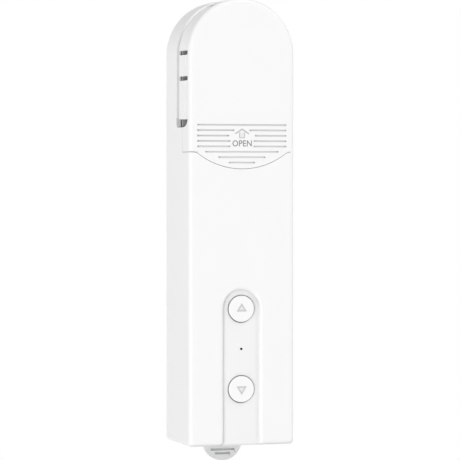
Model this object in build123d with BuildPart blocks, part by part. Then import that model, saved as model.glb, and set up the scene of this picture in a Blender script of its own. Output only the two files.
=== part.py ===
from build123d import *
from math import acos, atan2, cos, degrees, hypot, pi, radians, sin, sqrt, tan
import os

# Chain drive for a roller shade, in millimetres.
# X runs to the right, the front looks towards -Y and Z points up.
# The origin lies on the wall, midway between the two screws of the wall plate.
# A depth is a distance out from the wall, so a depth of 10 is at Y = -10.

# Housing: a tall narrow case with a semicircular head
housing_width = 52.0
housing_height = 210.0
housing_depth = 37.0
wall = 2.0
edge_radius = 2.2
corner_radius = 1.2
foot_corner_radius = 2.0
wall_gap = 0.8
plate_centre_height = 56.0

# Fits between pieces
slide_gap = 0.2
fit_gap = 0.1
pin_gap = 0.02
running_gap = 0.05
gear_side_gap = 0.5

# Head: a stepped-back side wall round the sprocket chamber, and its cover
recess_length = 19.7
recess_step = 1.0
recess_rear_step = 0.5
recess_groove_width = 2.0
recess_groove_depth = 1.3
chamber_wall = 1.6
cover_thickness = 2.4
cover_height = 72.0
seam_gap = 0.2
flank_height = 11.5
flank_length = 8.0
flank_rise = 3.6
window_height = 3.8
tongue_drop = 7.9
tongue_radius = 36.0
tongue_blend = 4.0
tongue_backing = 1.8
slot_drops = (25.5, 37.5)
slot_width = 2.0
slot_root = 0.5
shelf_thickness = 2.5
toe_length = 7.0
toe_width = 1.6
toe_depth = 0.4

# Finger grips cut into the cover: half the middle gap and half the length of each line
grip_lines = ((0, 21.9), (3.8, 21.9), (6.4, 21.9), (5.8, 21.9), (5.8, 21.9), (0, 18.0), (0, 11.6), (0, 6.4))
grip_top_drop = 59.4
grip_pitch = 2.52
grip_width = 0.7
grip_depth = 0.45

# Valley that runs down from the upper button, with two buttons and a status light
valley_floor_width = 17.8
valley_bank = 0.6
valley_depth = 1.6
valley_edge_radius = 1.6
button_heights = (64.3, 26.5)
button_diameter = 12.4
button_ring_gap = 0.35
button_rise = 1.0
button_flange = 1.2
button_flange_thickness = 0.9
button_edge_radius = 0.4
button_travel = 0.5
light_height = 45.4
light_diameter = 0.9

# Bead chain that the sprocket is made for: 4.5 mm beads every 6 mm
bead_diameter = 4.5
bead_pitch = 6.0
bead_clearance = 0.2
chain_side_room = 0.7
sprocket_pockets = 8
sprocket_width = 8.0
sprocket_rim_height = 1.7
sprocket_cord_width = 2.0
sprocket_drop = 12.0
guide_wall = 1.4
guide_end_gap = 0.25

# Gear train, from the output back to the motor
pressure_angle = 25.0
tooth_thinning = 0.08
pinion_teeth = 12
output_module = 1.0
output_teeth = 36
second_module = 0.8
second_teeth = 36
first_module = 0.6
first_teeth = 48
output_face = 4.0
second_face = 3.5
first_face = 3.0
motor_pinion_face = 4.0
train_slack = 2.7
first_gear_shift = 5.0
gear_hub_radius = 3.0
gear_pin_diameter = 3.0
output_shaft_diameter = 6.0
shaft_flat = 0.5
bearing_diameter = 12.0
rear_bush_diameter = 10.0
bearing_width = 3.5
rear_bush_width = 2.5

# Gearbox plate that carries the train, the motor and the chain guide
gearbox_plate_depth = 19.4
gearbox_plate_thickness = 1.6
gearbox_plate_margin = 1.5
bearing_hub_wall = 1.6

# Motor
motor_diameter = 28.0
motor_length = 12.6
motor_cap_thickness = 1.2
motor_boss_diameter = 7.0
motor_boss_length = 1.2
motor_shaft_diameter = 2.0
motor_screw_spacing = 16.0

# Wall plate with a T-shaped rail and a rack for the lock
plate_length = 100.0
rail_side_distance = 11.2
rail_lip = 4.0
rail_neck_depth = 1.8
rail_thickness = 1.6
screw_spacing = 84.0
wall_screw_hole = 4.2
wall_screw_head = 8.0
rack_pitch = 2.5
rack_depth = 0.8
rack_width = 7.0
rack_spare_teeth = 6
lift_travel = 25.0

# Rear cover with the channel that takes the rail
rear_cover_thickness = 2.0
channel_lip = 0.8
channel_floor = 1.2
channel_side = 1.4
screw_relief = 0.4

# Release tab at the foot, in a sleeve on the rear cover
tab_radius = 9.5
tab_centre_drop = 0.5
tab_thickness = 2.7
tab_ear = 1.5
tab_ear_height = 9.3
tab_body_height = 15.0
tab_neck_width = 5.6
tab_neck_height = 27.0
tab_travel = 5.0
tab_rib_pitch = 1.85
tab_rib_start = 1.0
tab_rib_rows = 3
tab_rib_width = 1.0
tab_rib_depth = 0.6
tab_rib_margin = 1.95
pawl_height = 4.0
pawl_gap = 0.3
sleeve_wall = 1.2
lock_spring_strip = 0.5
lock_spring_half = 2.0
lock_spring_legs = 6
lock_spring_pressed = 4.0

# Two lithium cells side by side
cell_diameter = 18.4
cell_length = 65.0
cell_spacing = 19.0
cell_foot_height = 9.0
cell_frame_thickness = 4.0
cell_frame_gap = 2.8
cell_strip_thickness = 0.2
cell_strip_width = 8.0

# Circuit board and what is soldered to it
board_depth = 28.0
board_thickness = 1.2
board_width = 34.0
board_foot_height = 3.0
board_top_gap = 2.5
switch_size = 6.0
switch_thickness = 3.1
plunger_diameter = 3.4
usb_width = 8.9
usb_thickness = 3.2
usb_length = 7.3
usb_setback = 0.8
usb_skin = 0.3
board_part_gap = 0.5
radio_size = (12.0, 12.0)
radio_thickness = 2.4
radio_top_gap = 11.0
driver_size = 7.0
driver_thickness = 0.9
driver_top_gap = 12.0
connector_size = (6.0, 8.0)
connector_thickness = 4.5
connector_wall = 0.8
connector_floor = 1.0
connector_edge = 1.0
connector_top_gaps = (39.0, 55.0)

# Screws
screw_shank = 2.2
screw_head = 4.2
screw_head_thickness = 1.4
screw_depth = 7.0
boss_diameter = 5.4
boss_bite = 0.3
head_screw_angle = 48.0
plate_screw_angle = 35.0
guide_screw_angle = -38.0
sprocket_screw_shank = 3.0
sprocket_screw_head = 5.6
sprocket_screw_head_thickness = 2.0
cross_length = 2.2
cross_width = 0.6
cross_depth = 0.6

# Places worked out from the sizes above
half_width = housing_width / 2
foot = -plate_centre_height
head_top = foot + housing_height
head_centre = head_top - half_width
back = wall_gap
face = back + housing_depth
seam = head_top - cover_height
flank_top = seam + flank_height
cover_back = face - cover_thickness
flank_room_back = cover_back - flank_length - seam_gap
recess_back = face - recess_length
recess_groove_front = recess_back + recess_groove_width
plate_front = gearbox_plate_depth + gearbox_plate_thickness
inner_face = face - wall
chamber_inset = recess_step + chamber_wall
shelf_top = seam + shelf_thickness / 2
shelf_bottom = shelf_top - shelf_thickness
valley_half = valley_floor_width / 2 + valley_bank
valley_floor = face - valley_depth
valley_back = valley_floor - wall

rail_width = housing_width - 2 * rail_side_distance
rail_neck_width = rail_width - 2 * rail_lip
rail_front = rail_neck_depth + rail_thickness
channel_front = rail_front + slide_gap
channel_floor_front = channel_front + channel_floor
channel_half = rail_width / 2 + slide_gap
channel_outer = channel_half + channel_side
channel_top = plate_length / 2 + slide_gap
rear_cover_front = back + rear_cover_thickness

sleeve_half = tab_radius + tab_ear + slide_gap
sleeve_outer = sleeve_half + sleeve_wall
tab_back = channel_floor_front + slide_gap
tab_front = tab_back + tab_thickness
sleeve_front = tab_front + slide_gap
retainer_front = sleeve_front + sleeve_wall - fit_gap
sleeve_height = tab_neck_height + tab_travel + lock_spring_pressed
rack_teeth = int(lift_travel / rack_pitch) + rack_spare_teeth

chain_radius = bead_pitch / (2 * sin(pi / sprocket_pockets))
chain_half = chain_radius + bead_diameter / 2 + chain_side_room
sprocket_radius = chain_radius + sprocket_rim_height
bearing_hub_front = gearbox_plate_depth + bearing_width - gear_side_gap
sprocket_back = bearing_hub_front + 2 * gear_side_gap
sprocket_front = sprocket_back + sprocket_width
chain_depth = sprocket_back + sprocket_width / 2

first_distance = first_module * (pinion_teeth + first_teeth) / 2
second_distance = second_module * (pinion_teeth + second_teeth) / 2
output_distance = output_module * (pinion_teeth + output_teeth) / 2
train_length = first_distance + second_distance + output_distance - train_slack
output_centre = (0, head_centre - sprocket_drop)
motor_centre = (0, output_centre[1] - train_length)
plate_low = motor_centre[1] - motor_diameter / 2 - gearbox_plate_margin
board_top = motor_centre[1] - motor_diameter / 2 - board_top_gap
first_centre = (-first_gear_shift, motor_centre[1] + sqrt(first_distance**2 - first_gear_shift**2))


def polar(centre, radius, angle):
    """The point at this radius and angle, in degrees, from a centre."""
    return (centre[0] + radius * cos(radians(angle)), centre[1] + radius * sin(radians(angle)))


boss_radius = boss_diameter / 2
wall_boss = half_width - wall - boss_radius + boss_bite
chamber_boss = half_width - chamber_inset - boss_radius + boss_bite
rear_screws = (
    (wall_boss, foot + wall + boss_radius - boss_bite),
    (wall_boss, foot + cell_foot_height + cell_length + boss_diameter),
    polar((0, head_centre), wall_boss, head_screw_angle),
)
plate_screws = (
    (wall_boss, plate_low + boss_diameter),
    (chamber_boss, shelf_top + boss_diameter),
    polar((0, head_centre), chamber_boss, plate_screw_angle),
)
board_half = board_width / 2
board_front = board_depth + board_thickness
board_screw_places = (
    (board_half - boss_radius, foot + board_foot_height + boss_radius + running_gap),
    (board_half - boss_radius, board_top - boss_radius - running_gap),
)
guide_outer = chain_half + guide_wall
guide_screw_reach = guide_outer + 1.5 * boss_diameter
guide_screw_place = polar(output_centre, guide_screw_reach, guide_screw_angle)
cell_depth = retainer_front + fit_gap + cell_diameter / 2 + fit_gap


def front_plane(depth):
    """A sketch plane at this depth, seen from the front: x to the right, y up."""
    return Plane.XZ.offset(depth)


def both_sides(places):
    """The places given on the right, and their mirror images on the left."""
    return [(side * x, z) for x, z in places for side in (-1, 1)]


def meet(centre_a, radius_a, centre_b, radius_b):
    """The right-hand crossing of two circles, where a gear meshes with both of its neighbours."""
    dx = centre_b[0] - centre_a[0]
    dz = centre_b[1] - centre_a[1]
    span = hypot(dx, dz)
    along = (radius_a**2 - radius_b**2 + span**2) / (2 * span)
    across = sqrt(radius_a**2 - along**2)
    return (centre_a[0] + (along * dx + across * dz) / span, centre_a[1] + (along * dz - across * dx) / span)


def mesh_turn(turn, teeth, centre, other_teeth, other_centre):
    """The turn, in degrees, that puts a gap of the other gear where this gear has a tooth."""
    line = degrees(atan2(other_centre[1] - centre[1], other_centre[0] - centre[0]))
    return line + 180 - (turn - line) * teeth / other_teeth - 180 / other_teeth


second_centre = meet(first_centre, second_distance, output_centre, output_distance)
output_turn = 90.0
second_pinion_turn = mesh_turn(output_turn, output_teeth, output_centre, pinion_teeth, second_centre)
first_pinion_turn = mesh_turn(second_pinion_turn, second_teeth, second_centre, pinion_teeth, first_centre)
motor_pinion_turn = mesh_turn(first_pinion_turn, first_teeth, first_centre, pinion_teeth, motor_centre)

# Layers of the gear train, from the gearbox plate back to the rear cover
first_front = gearbox_plate_depth - 2 * gear_side_gap
first_back = first_front - first_face
second_front = first_back - 2 * gear_side_gap
second_back = second_front - second_face
output_front = second_back - 3 * gear_side_gap
output_back = output_front - output_face


def column(places, radius, start, end, mode=Mode.ADD):
    """Round bars along Y between two depths, one at each place."""
    with BuildSketch(front_plane(start)) as section:
        with Locations(*places):
            Circle(radius)
    extrude(section.sketch, amount=end - start, mode=mode)


def block(left, right, low, high, start, end, mode=Mode.ADD):
    """A block between two depths, with its left, right, lower and upper sides given."""
    with BuildSketch(front_plane(start)) as section:
        with Locations(((left + right) / 2, (low + high) / 2)):
            Rectangle(right - left, high - low)
    extrude(section.sketch, amount=end - start, mode=mode)


def arch(inset, low, start, end, mode=Mode.ADD, taper=0):
    """A slab with the outline of the housing, drawn in by the inset and cut level at its foot."""
    half = half_width - inset
    with BuildSketch(front_plane(start)) as outline:
        with Locations((0, head_centre)):
            Circle(half)
        with Locations((0, (low + head_centre) / 2)):
            Rectangle(2 * half, head_centre - low)
    extrude(outline.sketch, amount=end - start, taper=taper, mode=mode)


def step_back(inset, low, start, end):
    """Cut the outside of the head back by the inset, above a level."""
    with BuildSketch(front_plane(start)) as ring:
        for half, mode in ((half_width + wall, Mode.ADD), (half_width - inset, Mode.SUBTRACT)):
            with Locations((0, head_centre)):
                Circle(half, mode=mode)
            with Locations((0, (low + head_centre) / 2)):
                Rectangle(2 * half, head_centre - low, mode=mode)
    extrude(ring.sketch, amount=end - start, mode=Mode.SUBTRACT)


def cover_slab(gap, start, end, mode=Mode.ADD):
    """The outline of the cover: the arch of the head with a tongue that hangs below the seam."""
    low = seam - gap
    tongue_centre = seam - tongue_drop + tongue_radius
    with BuildSketch(front_plane(start)) as outline:
        with Locations((0, tongue_centre)):
            Circle(tongue_radius + gap)
        with Locations((0, low + tongue_radius)):
            Rectangle(4 * tongue_radius, 2 * tongue_radius, mode=Mode.SUBTRACT)
        with Locations((0, head_centre)):
            Circle(half_width + gap)
        with Locations((0, (low + head_centre) / 2)):
            Rectangle(2 * half_width + 2 * gap, head_centre - low)
        roots = [v for v in outline.vertices() if abs(v.Y - low) < fit_gap and abs(v.X) < half_width - wall]
        fillet(roots, tongue_blend)
    extrude(outline.sketch, amount=end - start, mode=mode)


def valley_sketch(inset, low):
    """The outline of the valley: straight sides under an arch about the upper button."""
    half = valley_half - inset
    top = foot + button_heights[0]
    with BuildSketch(front_plane(face)) as outline:
        with Locations((0, top)):
            Circle(half)
        with Locations((0, (low + top) / 2)):
            Rectangle(2 * half, top - low)
    return outline.sketch


def tooth_half_angle(module, teeth, radius):
    """Half the angle that an involute tooth fills at this radius."""
    pitch_radius = module * teeth / 2
    base_radius = pitch_radius * cos(radians(pressure_angle))
    roll = acos(min(1, base_radius / radius))
    pressure = radians(pressure_angle)
    half_at_pitch = pi / (2 * teeth) - tooth_thinning / (2 * pitch_radius)
    return half_at_pitch + tan(pressure) - pressure - tan(roll) + roll


def gear(centre, module, teeth, turn, start, end):
    """A spur gear with involute flanks, one of its teeth at the given turn from the X axis."""
    pitch_radius = module * teeth / 2
    base_radius = pitch_radius * cos(radians(pressure_angle))
    root_radius = pitch_radius - 1.25 * module
    tip_radius = pitch_radius + module
    flank_radius = max(root_radius, base_radius)

    def point(radius, middle, side):
        angle = middle + side * tooth_half_angle(module, teeth, max(radius, flank_radius))
        return (centre[0] + radius * cos(angle), centre[1] + radius * sin(angle))

    with BuildSketch(front_plane(start)) as outline:
        with BuildLine():
            for tooth in range(teeth):
                middle = radians(turn) + 2 * pi * tooth / teeth
                following = middle + 2 * pi / teeth
                if root_radius < base_radius:
                    Line(point(root_radius, middle, -1), point(flank_radius, middle, -1))
                    Line(point(flank_radius, middle, 1), point(root_radius, middle, 1))
                flank = [point(r, middle, -1) for r in (flank_radius, pitch_radius, tip_radius)]
                ThreePointArc(*flank)
                Line(point(tip_radius, middle, -1), point(tip_radius, middle, 1))
                ThreePointArc(*[point(r, middle, 1) for r in (tip_radius, pitch_radius, flank_radius)])
                Line(point(root_radius, middle, 1), point(root_radius, following, -1))
        make_face()
    extrude(outline.sketch, amount=end - start)


def screws(places, seat, direction, shank, head, head_thickness, length):
    """Pan-head screws with a cross recess. The shank runs from the seat, the head stands behind it."""
    column(places, shank / 2, seat, seat + direction * length)
    column(places, head / 2, seat, seat - direction * head_thickness)
    recess = seat - direction * head_thickness
    for width, height in ((cross_length, cross_width), (cross_width, cross_length)):
        with BuildSketch(front_plane(recess)) as cross:
            with Locations(*places):
                Rectangle(width, height)
        extrude(cross.sketch, amount=direction * cross_depth, mode=Mode.SUBTRACT)


# Wall plate: a strip on the wall with a wider rail in front of it
with BuildPart() as wall_plate:
    block(-rail_neck_width / 2, rail_neck_width / 2, -plate_length / 2, plate_length / 2, 0, rail_neck_depth)
    block(-rail_width / 2, rail_width / 2, -plate_length / 2, plate_length / 2, rail_neck_depth, rail_front)
    fillet(wall_plate.edges().filter_by(Axis.Y).group_by(Axis.Z)[0], corner_radius)
    fillet(wall_plate.edges().filter_by(Axis.Y).group_by(Axis.Z)[-1], corner_radius)
    with Locations(front_plane(rail_front)):
        with GridLocations(0, screw_spacing, 1, 2):
            CounterSinkHole(wall_screw_hole / 2, wall_screw_head / 2)
    with BuildSketch(Plane.YZ.offset(-rack_width / 2)) as rack:
        for tooth in range(rack_teeth):
            top = foot + tab_neck_height + rack_pitch * tooth
            with BuildLine():
                Polyline(
                    (-rail_front, top),
                    (-rail_front + rack_depth, top),
                    (-rail_front, top - rack_pitch + fit_gap),
                    close=True,
                )
            make_face()
    extrude(rack.sketch, amount=rack_width, mode=Mode.SUBTRACT)

# What is cut off the side of the head where its stepped-back part slopes down to the cover's flanks
with BuildPart() as recess_slope:
    arch(-wall, flank_top, recess_groove_front, flank_room_back)
    arch(recess_rear_step, flank_top - wall, recess_groove_front, flank_room_back, mode=Mode.SUBTRACT,
         taper=degrees(atan2(recess_step - recess_rear_step, flank_room_back - recess_groove_front)))

# Main housing: one deep moulding, open at the back and at the front of the head
with BuildPart() as main_housing:
    arch(0, foot, back, face)
    front_edges = main_housing.faces().sort_by(Axis.Y)[0].edges()
    fillet([e for e in front_edges if e.center().Z > foot + corner_radius], edge_radius)
    fillet(main_housing.edges().filter_by(Axis.Y).group_by(Axis.Z)[0], foot_corner_radius)
    # The valley and the soft edges of its banks
    extrude(valley_sketch(0, foot - 2 * valley_bank), amount=-valley_depth,
            taper=degrees(atan2(valley_bank, valley_depth)), mode=Mode.SUBTRACT)
    bank_rims = [e for e in main_housing.edges() if abs(e.center().X) < valley_half + fit_gap
                 and e.center().Z > foot + corner_radius and e.center().Y < -face + fit_gap
                 and e.center().Z < seam]
    fillet(bank_rims, valley_edge_radius)
    # The spaces inside: behind the gearbox plate, round the battery, and the sprocket chamber
    arch(wall, foot + wall, back, plate_front, mode=Mode.SUBTRACT)
    block(-half_width + wall, half_width - wall, foot + wall, shelf_bottom, plate_front, inner_face,
          mode=Mode.SUBTRACT)
    arch(chamber_inset, shelf_top, plate_front, face, mode=Mode.SUBTRACT)
    # Backing behind the valley and behind the tongue of the cover
    block(-valley_half - wall, valley_half + wall, foot + wall, foot + button_heights[0] + valley_half,
          valley_back, inner_face)
    block(-half_width + wall, half_width - wall, seam - tongue_drop - wall, shelf_bottom,
          cover_back - seam_gap - tongue_backing, inner_face)
    # The stepped-back side of the head behind a groove, the room for the cover's flanks and its own seat
    step_back(recess_groove_depth, flank_top, recess_back, recess_groove_front)
    add(recess_slope.part, mode=Mode.SUBTRACT)
    step_back(recess_step, seam - seam_gap, flank_room_back, face)
    cover_slab(seam_gap, cover_back - fit_gap, face + wall, mode=Mode.SUBTRACT)
    for side in (-1, 1):
        outer = side * (half_width + wall)
        inner = side * (half_width - chamber_inset - wall)
        left, right = min(outer, inner), max(outer, inner)
        # Two slots that free a springy tongue, and the window under the side wall
        for drop in slot_drops:
            block(left, right, head_top - drop - slot_width / 2, head_top - drop + slot_width / 2,
                  recess_back + slot_root, cover_back, mode=Mode.SUBTRACT)
        block(left, right, flank_top, flank_top + window_height, recess_back + slot_root, cover_back,
              mode=Mode.SUBTRACT)
        # Groove in which the toe of the cover's flank slides up
        groove_inner = side * (half_width - recess_step - toe_depth - fit_gap)
        left, right = min(outer, groove_inner), max(outer, groove_inner)
        block(left, right, seam - seam_gap, head_centre + toe_length, cover_back - flank_length,
              cover_back - flank_length + toe_width + slide_gap, mode=Mode.SUBTRACT)
    # Opening at the top for the two runs of the chain
    block(-chain_half, chain_half, head_centre + half_width / 2, head_centre + half_width + wall,
          plate_front, face, mode=Mode.SUBTRACT)
    # Bosses for the screws of the rear cover and of the gearbox plate
    column(both_sides(rear_screws[:2]), boss_radius, rear_cover_front, inner_face)
    column(both_sides(rear_screws[2:]), boss_radius, rear_cover_front, gearbox_plate_depth)
    column(both_sides(plate_screws[:1]), boss_radius, plate_front, inner_face)
    column(both_sides(plate_screws[1:]), boss_radius, plate_front, plate_front + screw_depth)
    column(both_sides(board_screw_places), boss_radius, board_front, inner_face)
    column(both_sides(rear_screws), screw_shank / 2 + pin_gap, rear_cover_front,
           rear_cover_front + screw_depth + wall, mode=Mode.SUBTRACT)
    column(both_sides(plate_screws), screw_shank / 2 + pin_gap, plate_front, plate_front + screw_depth,
           mode=Mode.SUBTRACT)
    column(both_sides(board_screw_places), screw_shank / 2 + pin_gap, board_front,
           board_front + screw_depth - wall, mode=Mode.SUBTRACT)
    # Holes for the buttons, the light, the charging socket and the release tab
    column([(0, foot + height) for height in button_heights], button_diameter / 2 + button_ring_gap,
           valley_back, face, mode=Mode.SUBTRACT)
    column([(0, foot + light_height)], light_diameter / 2 + running_gap, valley_back, face,
           mode=Mode.SUBTRACT)
    with BuildSketch(Plane.XY.offset(foot)) as charging_hole:
        with Locations((0, -board_front - usb_thickness / 2)):
            RectangleRounded(usb_width + 2 * slide_gap, usb_thickness + 2 * slide_gap, usb_thickness / 2)
    extrude(charging_hole.sketch, amount=wall, mode=Mode.SUBTRACT)
    block(-half_width + wall, half_width - wall, foot, foot + wall, back, rear_cover_front + fit_gap,
          mode=Mode.SUBTRACT)
    block(-channel_outer - fit_gap, channel_outer + fit_gap, foot, foot + wall, back,
          channel_floor_front + fit_gap, mode=Mode.SUBTRACT)
    block(-sleeve_outer - fit_gap, sleeve_outer + fit_gap, foot, foot + wall, back,
          retainer_front + fit_gap, mode=Mode.SUBTRACT)

# Cover over the sprocket: a plate with flush flanks and toes that run in the housing's grooves
with BuildPart() as gear_cover:
    cover_slab(0, cover_back, face)
    rim = gear_cover.faces().sort_by(Axis.Y)[0].edges()
    fillet([e for e in rim if e.center().Z > seam + corner_radius], edge_radius)
    for side in (-1, 1):
        flank_inner = half_width - recess_step + slide_gap
        with BuildSketch(Plane.YZ.offset(side * flank_inner)) as flank:
            with Locations((-cover_back + flank_length / 2, (seam + flank_top) / 2)):
                Rectangle(flank_length, flank_height)
            with Locations((-cover_back + flank_length / 2, flank_top + flank_rise / 2)):
                Rectangle(flank_length, flank_rise)
            with Locations((-cover_back + flank_length, flank_top + flank_rise)):
                Ellipse(flank_length, flank_rise, mode=Mode.SUBTRACT)
        extrude(flank.sketch, amount=side * (half_width - flank_inner))
        toe_tip = side * (half_width - recess_step - toe_depth)
        left, right = min(side * half_width, toe_tip), max(side * half_width, toe_tip)
        toe_start = cover_back - flank_length + fit_gap
        block(left, right, flank_top - toe_length - wall, flank_top - wall, toe_start, toe_start + toe_width)
    for row, (gap, reach) in enumerate(grip_lines):
        height = head_top - grip_top_drop - row * grip_pitch
        for side in (-1, 1):
            left, right = min(side * gap, side * reach), max(side * gap, side * reach)
            block(left, right, height - grip_width / 2, height + grip_width / 2, face - grip_depth, face,
                  mode=Mode.SUBTRACT)

# Rear cover: closes the back, holds the wall plate's rail and carries the rear ends of the shafts
with BuildPart() as rear_cover:
    arch(wall + fit_gap, foot, back, rear_cover_front)
    block(-channel_outer, channel_outer, foot, channel_top + channel_side, back, channel_floor_front)
    lip_half = rail_neck_width / 2 + slide_gap
    block(-lip_half, lip_half, foot, channel_top, back, channel_front, mode=Mode.SUBTRACT)
    block(-channel_half, channel_half, foot, channel_top, back + channel_lip, channel_front,
          mode=Mode.SUBTRACT)
    # Shallow groove that keeps the heads of the wall screws clear
    groove_half = wall_screw_head / 2 + screw_relief
    block(-groove_half, groove_half, foot, channel_top, channel_front, channel_front + screw_relief,
          mode=Mode.SUBTRACT)
    # Sleeve of the release tab, with a window for its pawl
    block(-sleeve_outer, sleeve_outer, foot, foot + sleeve_height + sleeve_wall, channel_floor_front,
          sleeve_front)
    block(-sleeve_half, sleeve_half, foot + tab_ear_height - slide_gap, foot + sleeve_height,
          channel_floor_front, sleeve_front, mode=Mode.SUBTRACT)
    block(-tab_radius - slide_gap, tab_radius + slide_gap, foot, foot + tab_ear_height,
          channel_floor_front, sleeve_front, mode=Mode.SUBTRACT)
    block(-tab_neck_width / 2 - slide_gap, tab_neck_width / 2 + slide_gap,
          foot + tab_neck_height - pawl_height - slide_gap, foot + tab_neck_height + tab_travel + slide_gap,
          channel_front, channel_floor_front, mode=Mode.SUBTRACT)
    # Bosses for the gear pins and the rear bush
    column([first_centre], gear_hub_radius, rear_cover_front, second_back - gear_side_gap)
    column([second_centre], gear_hub_radius, rear_cover_front, output_back - 2 * gear_side_gap)
    column([output_centre], rear_bush_diameter / 2 + bearing_hub_wall, rear_cover_front,
           output_back - gear_side_gap)
    column([first_centre, second_centre], gear_pin_diameter / 2 + pin_gap, back + rear_cover_thickness / 2,
           second_back, mode=Mode.SUBTRACT)
    column([output_centre], rear_bush_diameter / 2 + pin_gap, output_back - gear_side_gap - rear_bush_width,
           output_back, mode=Mode.SUBTRACT)
    # Screw holes with sunk heads
    column(both_sides(rear_screws), screw_shank / 2 + fit_gap, back, rear_cover_front, mode=Mode.SUBTRACT)
    column(both_sides(rear_screws), screw_head / 2 + fit_gap, back,
           back + rear_cover_thickness - screw_head_thickness / 2, mode=Mode.SUBTRACT)

rear_screw_seat = back + rear_cover_thickness - screw_head_thickness / 2
with BuildPart() as rear_cover_screws:
    screws(both_sides(rear_screws), rear_screw_seat, 1, screw_shank, screw_head,
           rear_screw_seat - back - fit_gap, screw_depth)

# Gearbox plate, seated on the ledge round the chamber
with BuildPart() as gearbox_plate:
    arch(wall + fit_gap, plate_low, gearbox_plate_depth, plate_front)
    column([output_centre], bearing_diameter / 2 + bearing_hub_wall, gearbox_plate_depth, bearing_hub_front)
    column([output_centre], bearing_diameter / 2 + pin_gap, gearbox_plate_depth,
           bearing_hub_front, mode=Mode.SUBTRACT)
    column([motor_centre], motor_boss_diameter / 2 + fit_gap, gearbox_plate_depth, plate_front,
           mode=Mode.SUBTRACT)
    column([first_centre, second_centre], gear_pin_diameter / 2 + pin_gap, gearbox_plate_depth, plate_front,
           mode=Mode.SUBTRACT)
    column(both_sides(plate_screws), screw_shank / 2 + fit_gap, gearbox_plate_depth, plate_front,
           mode=Mode.SUBTRACT)
    column(both_sides([guide_screw_place]), screw_shank / 2 + pin_gap, gearbox_plate_depth, plate_front,
           mode=Mode.SUBTRACT)
    motor_screw_places = [(side * motor_screw_spacing / 2, motor_centre[1]) for side in (-1, 1)]
    column(motor_screw_places, screw_shank / 2 + fit_gap, gearbox_plate_depth, plate_front,
           mode=Mode.SUBTRACT)

with BuildPart() as gearbox_screws:
    screws(both_sides(plate_screws), gearbox_plate_depth, 1, screw_shank, screw_head,
           screw_head_thickness, screw_depth)

# Chain guide: a U round the lower half of the sprocket, with legs up to the opening
with BuildPart() as chain_guide:
    guide_front = cover_back - 2 * gear_side_gap
    leg_half = half_width - chamber_inset - guide_end_gap
    leg_top = head_centre + sqrt(leg_half**2 - guide_outer**2)
    with BuildSketch(front_plane(plate_front)) as channel:
        for half, mode in ((guide_outer, Mode.ADD), (chain_half, Mode.SUBTRACT)):
            with Locations(output_centre):
                Circle(half, mode=mode)
            with Locations((0, (output_centre[1] + leg_top) / 2)):
                Rectangle(2 * half, leg_top - output_centre[1], mode=mode)
        with Locations((0, leg_top + guide_outer)):
            Rectangle(2 * guide_outer, 2 * guide_outer, mode=Mode.SUBTRACT)
    extrude(channel.sketch, amount=guide_front - plate_front)
    for angle in (guide_screw_angle, 180 - guide_screw_angle):
        with BuildSketch(front_plane(plate_front)) as ear:
            with Locations(polar(output_centre, guide_screw_reach, angle)):
                Circle(boss_radius)
            with Locations(polar(output_centre, guide_screw_reach / 2, angle)):
                Rectangle(guide_screw_reach, boss_diameter, rotation=angle)
            with Locations(output_centre):
                Circle(chain_half, mode=Mode.SUBTRACT)
        extrude(ear.sketch, amount=wall)
    column(both_sides([guide_screw_place]), screw_shank / 2 + fit_gap, plate_front, plate_front + wall,
           mode=Mode.SUBTRACT)

with BuildPart() as guide_screws:
    screws(both_sides([guide_screw_place]), plate_front + wall, -1, screw_shank, screw_head,
           screw_head_thickness, wall + gearbox_plate_thickness - fit_gap)

# Output shaft with a flat at each end of the drive
sprocket_screw_hole = sprocket_screw_shank / 2 + pin_gap
with BuildPart() as output_shaft:
    column([output_centre], output_shaft_diameter / 2, output_back - gear_side_gap - rear_bush_width
           + fit_gap, sprocket_front)
    flat = output_centre[1] + output_shaft_diameter / 2 - shaft_flat
    for start, end in ((output_back, output_front), (sprocket_back, sprocket_front)):
        block(-output_shaft_diameter, output_shaft_diameter, flat, flat + output_shaft_diameter, start, end,
              mode=Mode.SUBTRACT)
    column([output_centre], sprocket_screw_hole, sprocket_back, sprocket_front, mode=Mode.SUBTRACT)


def shaft_bore(start, end):
    """A bore for the output shaft, with the flat that drives the piece."""
    with BuildSketch(front_plane(start)) as bore:
        with Locations(output_centre):
            Circle(output_shaft_diameter / 2 + pin_gap)
        with Locations((0, flat + pin_gap + output_shaft_diameter / 2)):
            Rectangle(2 * output_shaft_diameter, output_shaft_diameter, mode=Mode.SUBTRACT)
    extrude(bore.sketch, amount=end - start, mode=Mode.SUBTRACT)


# Bead sprocket: a spool with a ball pocket for each bead and a slit for the cord between them
with BuildPart() as bead_sprocket:
    core_radius = chain_radius - sprocket_cord_width / 2
    with BuildSketch(Plane.XY.offset(output_centre[1])) as spool:
        with BuildLine():
            Polyline(
                (0, -sprocket_back),
                (sprocket_radius - gear_side_gap, -sprocket_back),
                (sprocket_radius, -sprocket_back - gear_side_gap),
                (sprocket_radius, -sprocket_back - gear_side_gap * 2),
                (core_radius, -chain_depth + sprocket_cord_width / 2),
                (core_radius, -chain_depth - sprocket_cord_width / 2),
                (sprocket_radius, -sprocket_front + gear_side_gap * 2),
                (sprocket_radius, -sprocket_front + gear_side_gap),
                (sprocket_radius - gear_side_gap, -sprocket_front),
                (0, -sprocket_front),
                close=True,
            )
        make_face()
    revolve(spool.sketch, axis=Axis((0, 0, output_centre[1]), (0, 1, 0)))
    with Locations(Plane((0, -chain_depth, output_centre[1]), x_dir=(1, 0, 0), z_dir=(0, -1, 0))):
        with PolarLocations(chain_radius, sprocket_pockets):
            Sphere(bead_diameter / 2 + bead_clearance, rotation=(90, 0, 0), mode=Mode.SUBTRACT)
    shaft_bore(sprocket_back, sprocket_front)

with BuildPart() as sprocket_screw:
    screws([output_centre], sprocket_front, -1, sprocket_screw_shank, sprocket_screw_head,
           sprocket_screw_head_thickness, sprocket_width - gear_side_gap)

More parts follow.
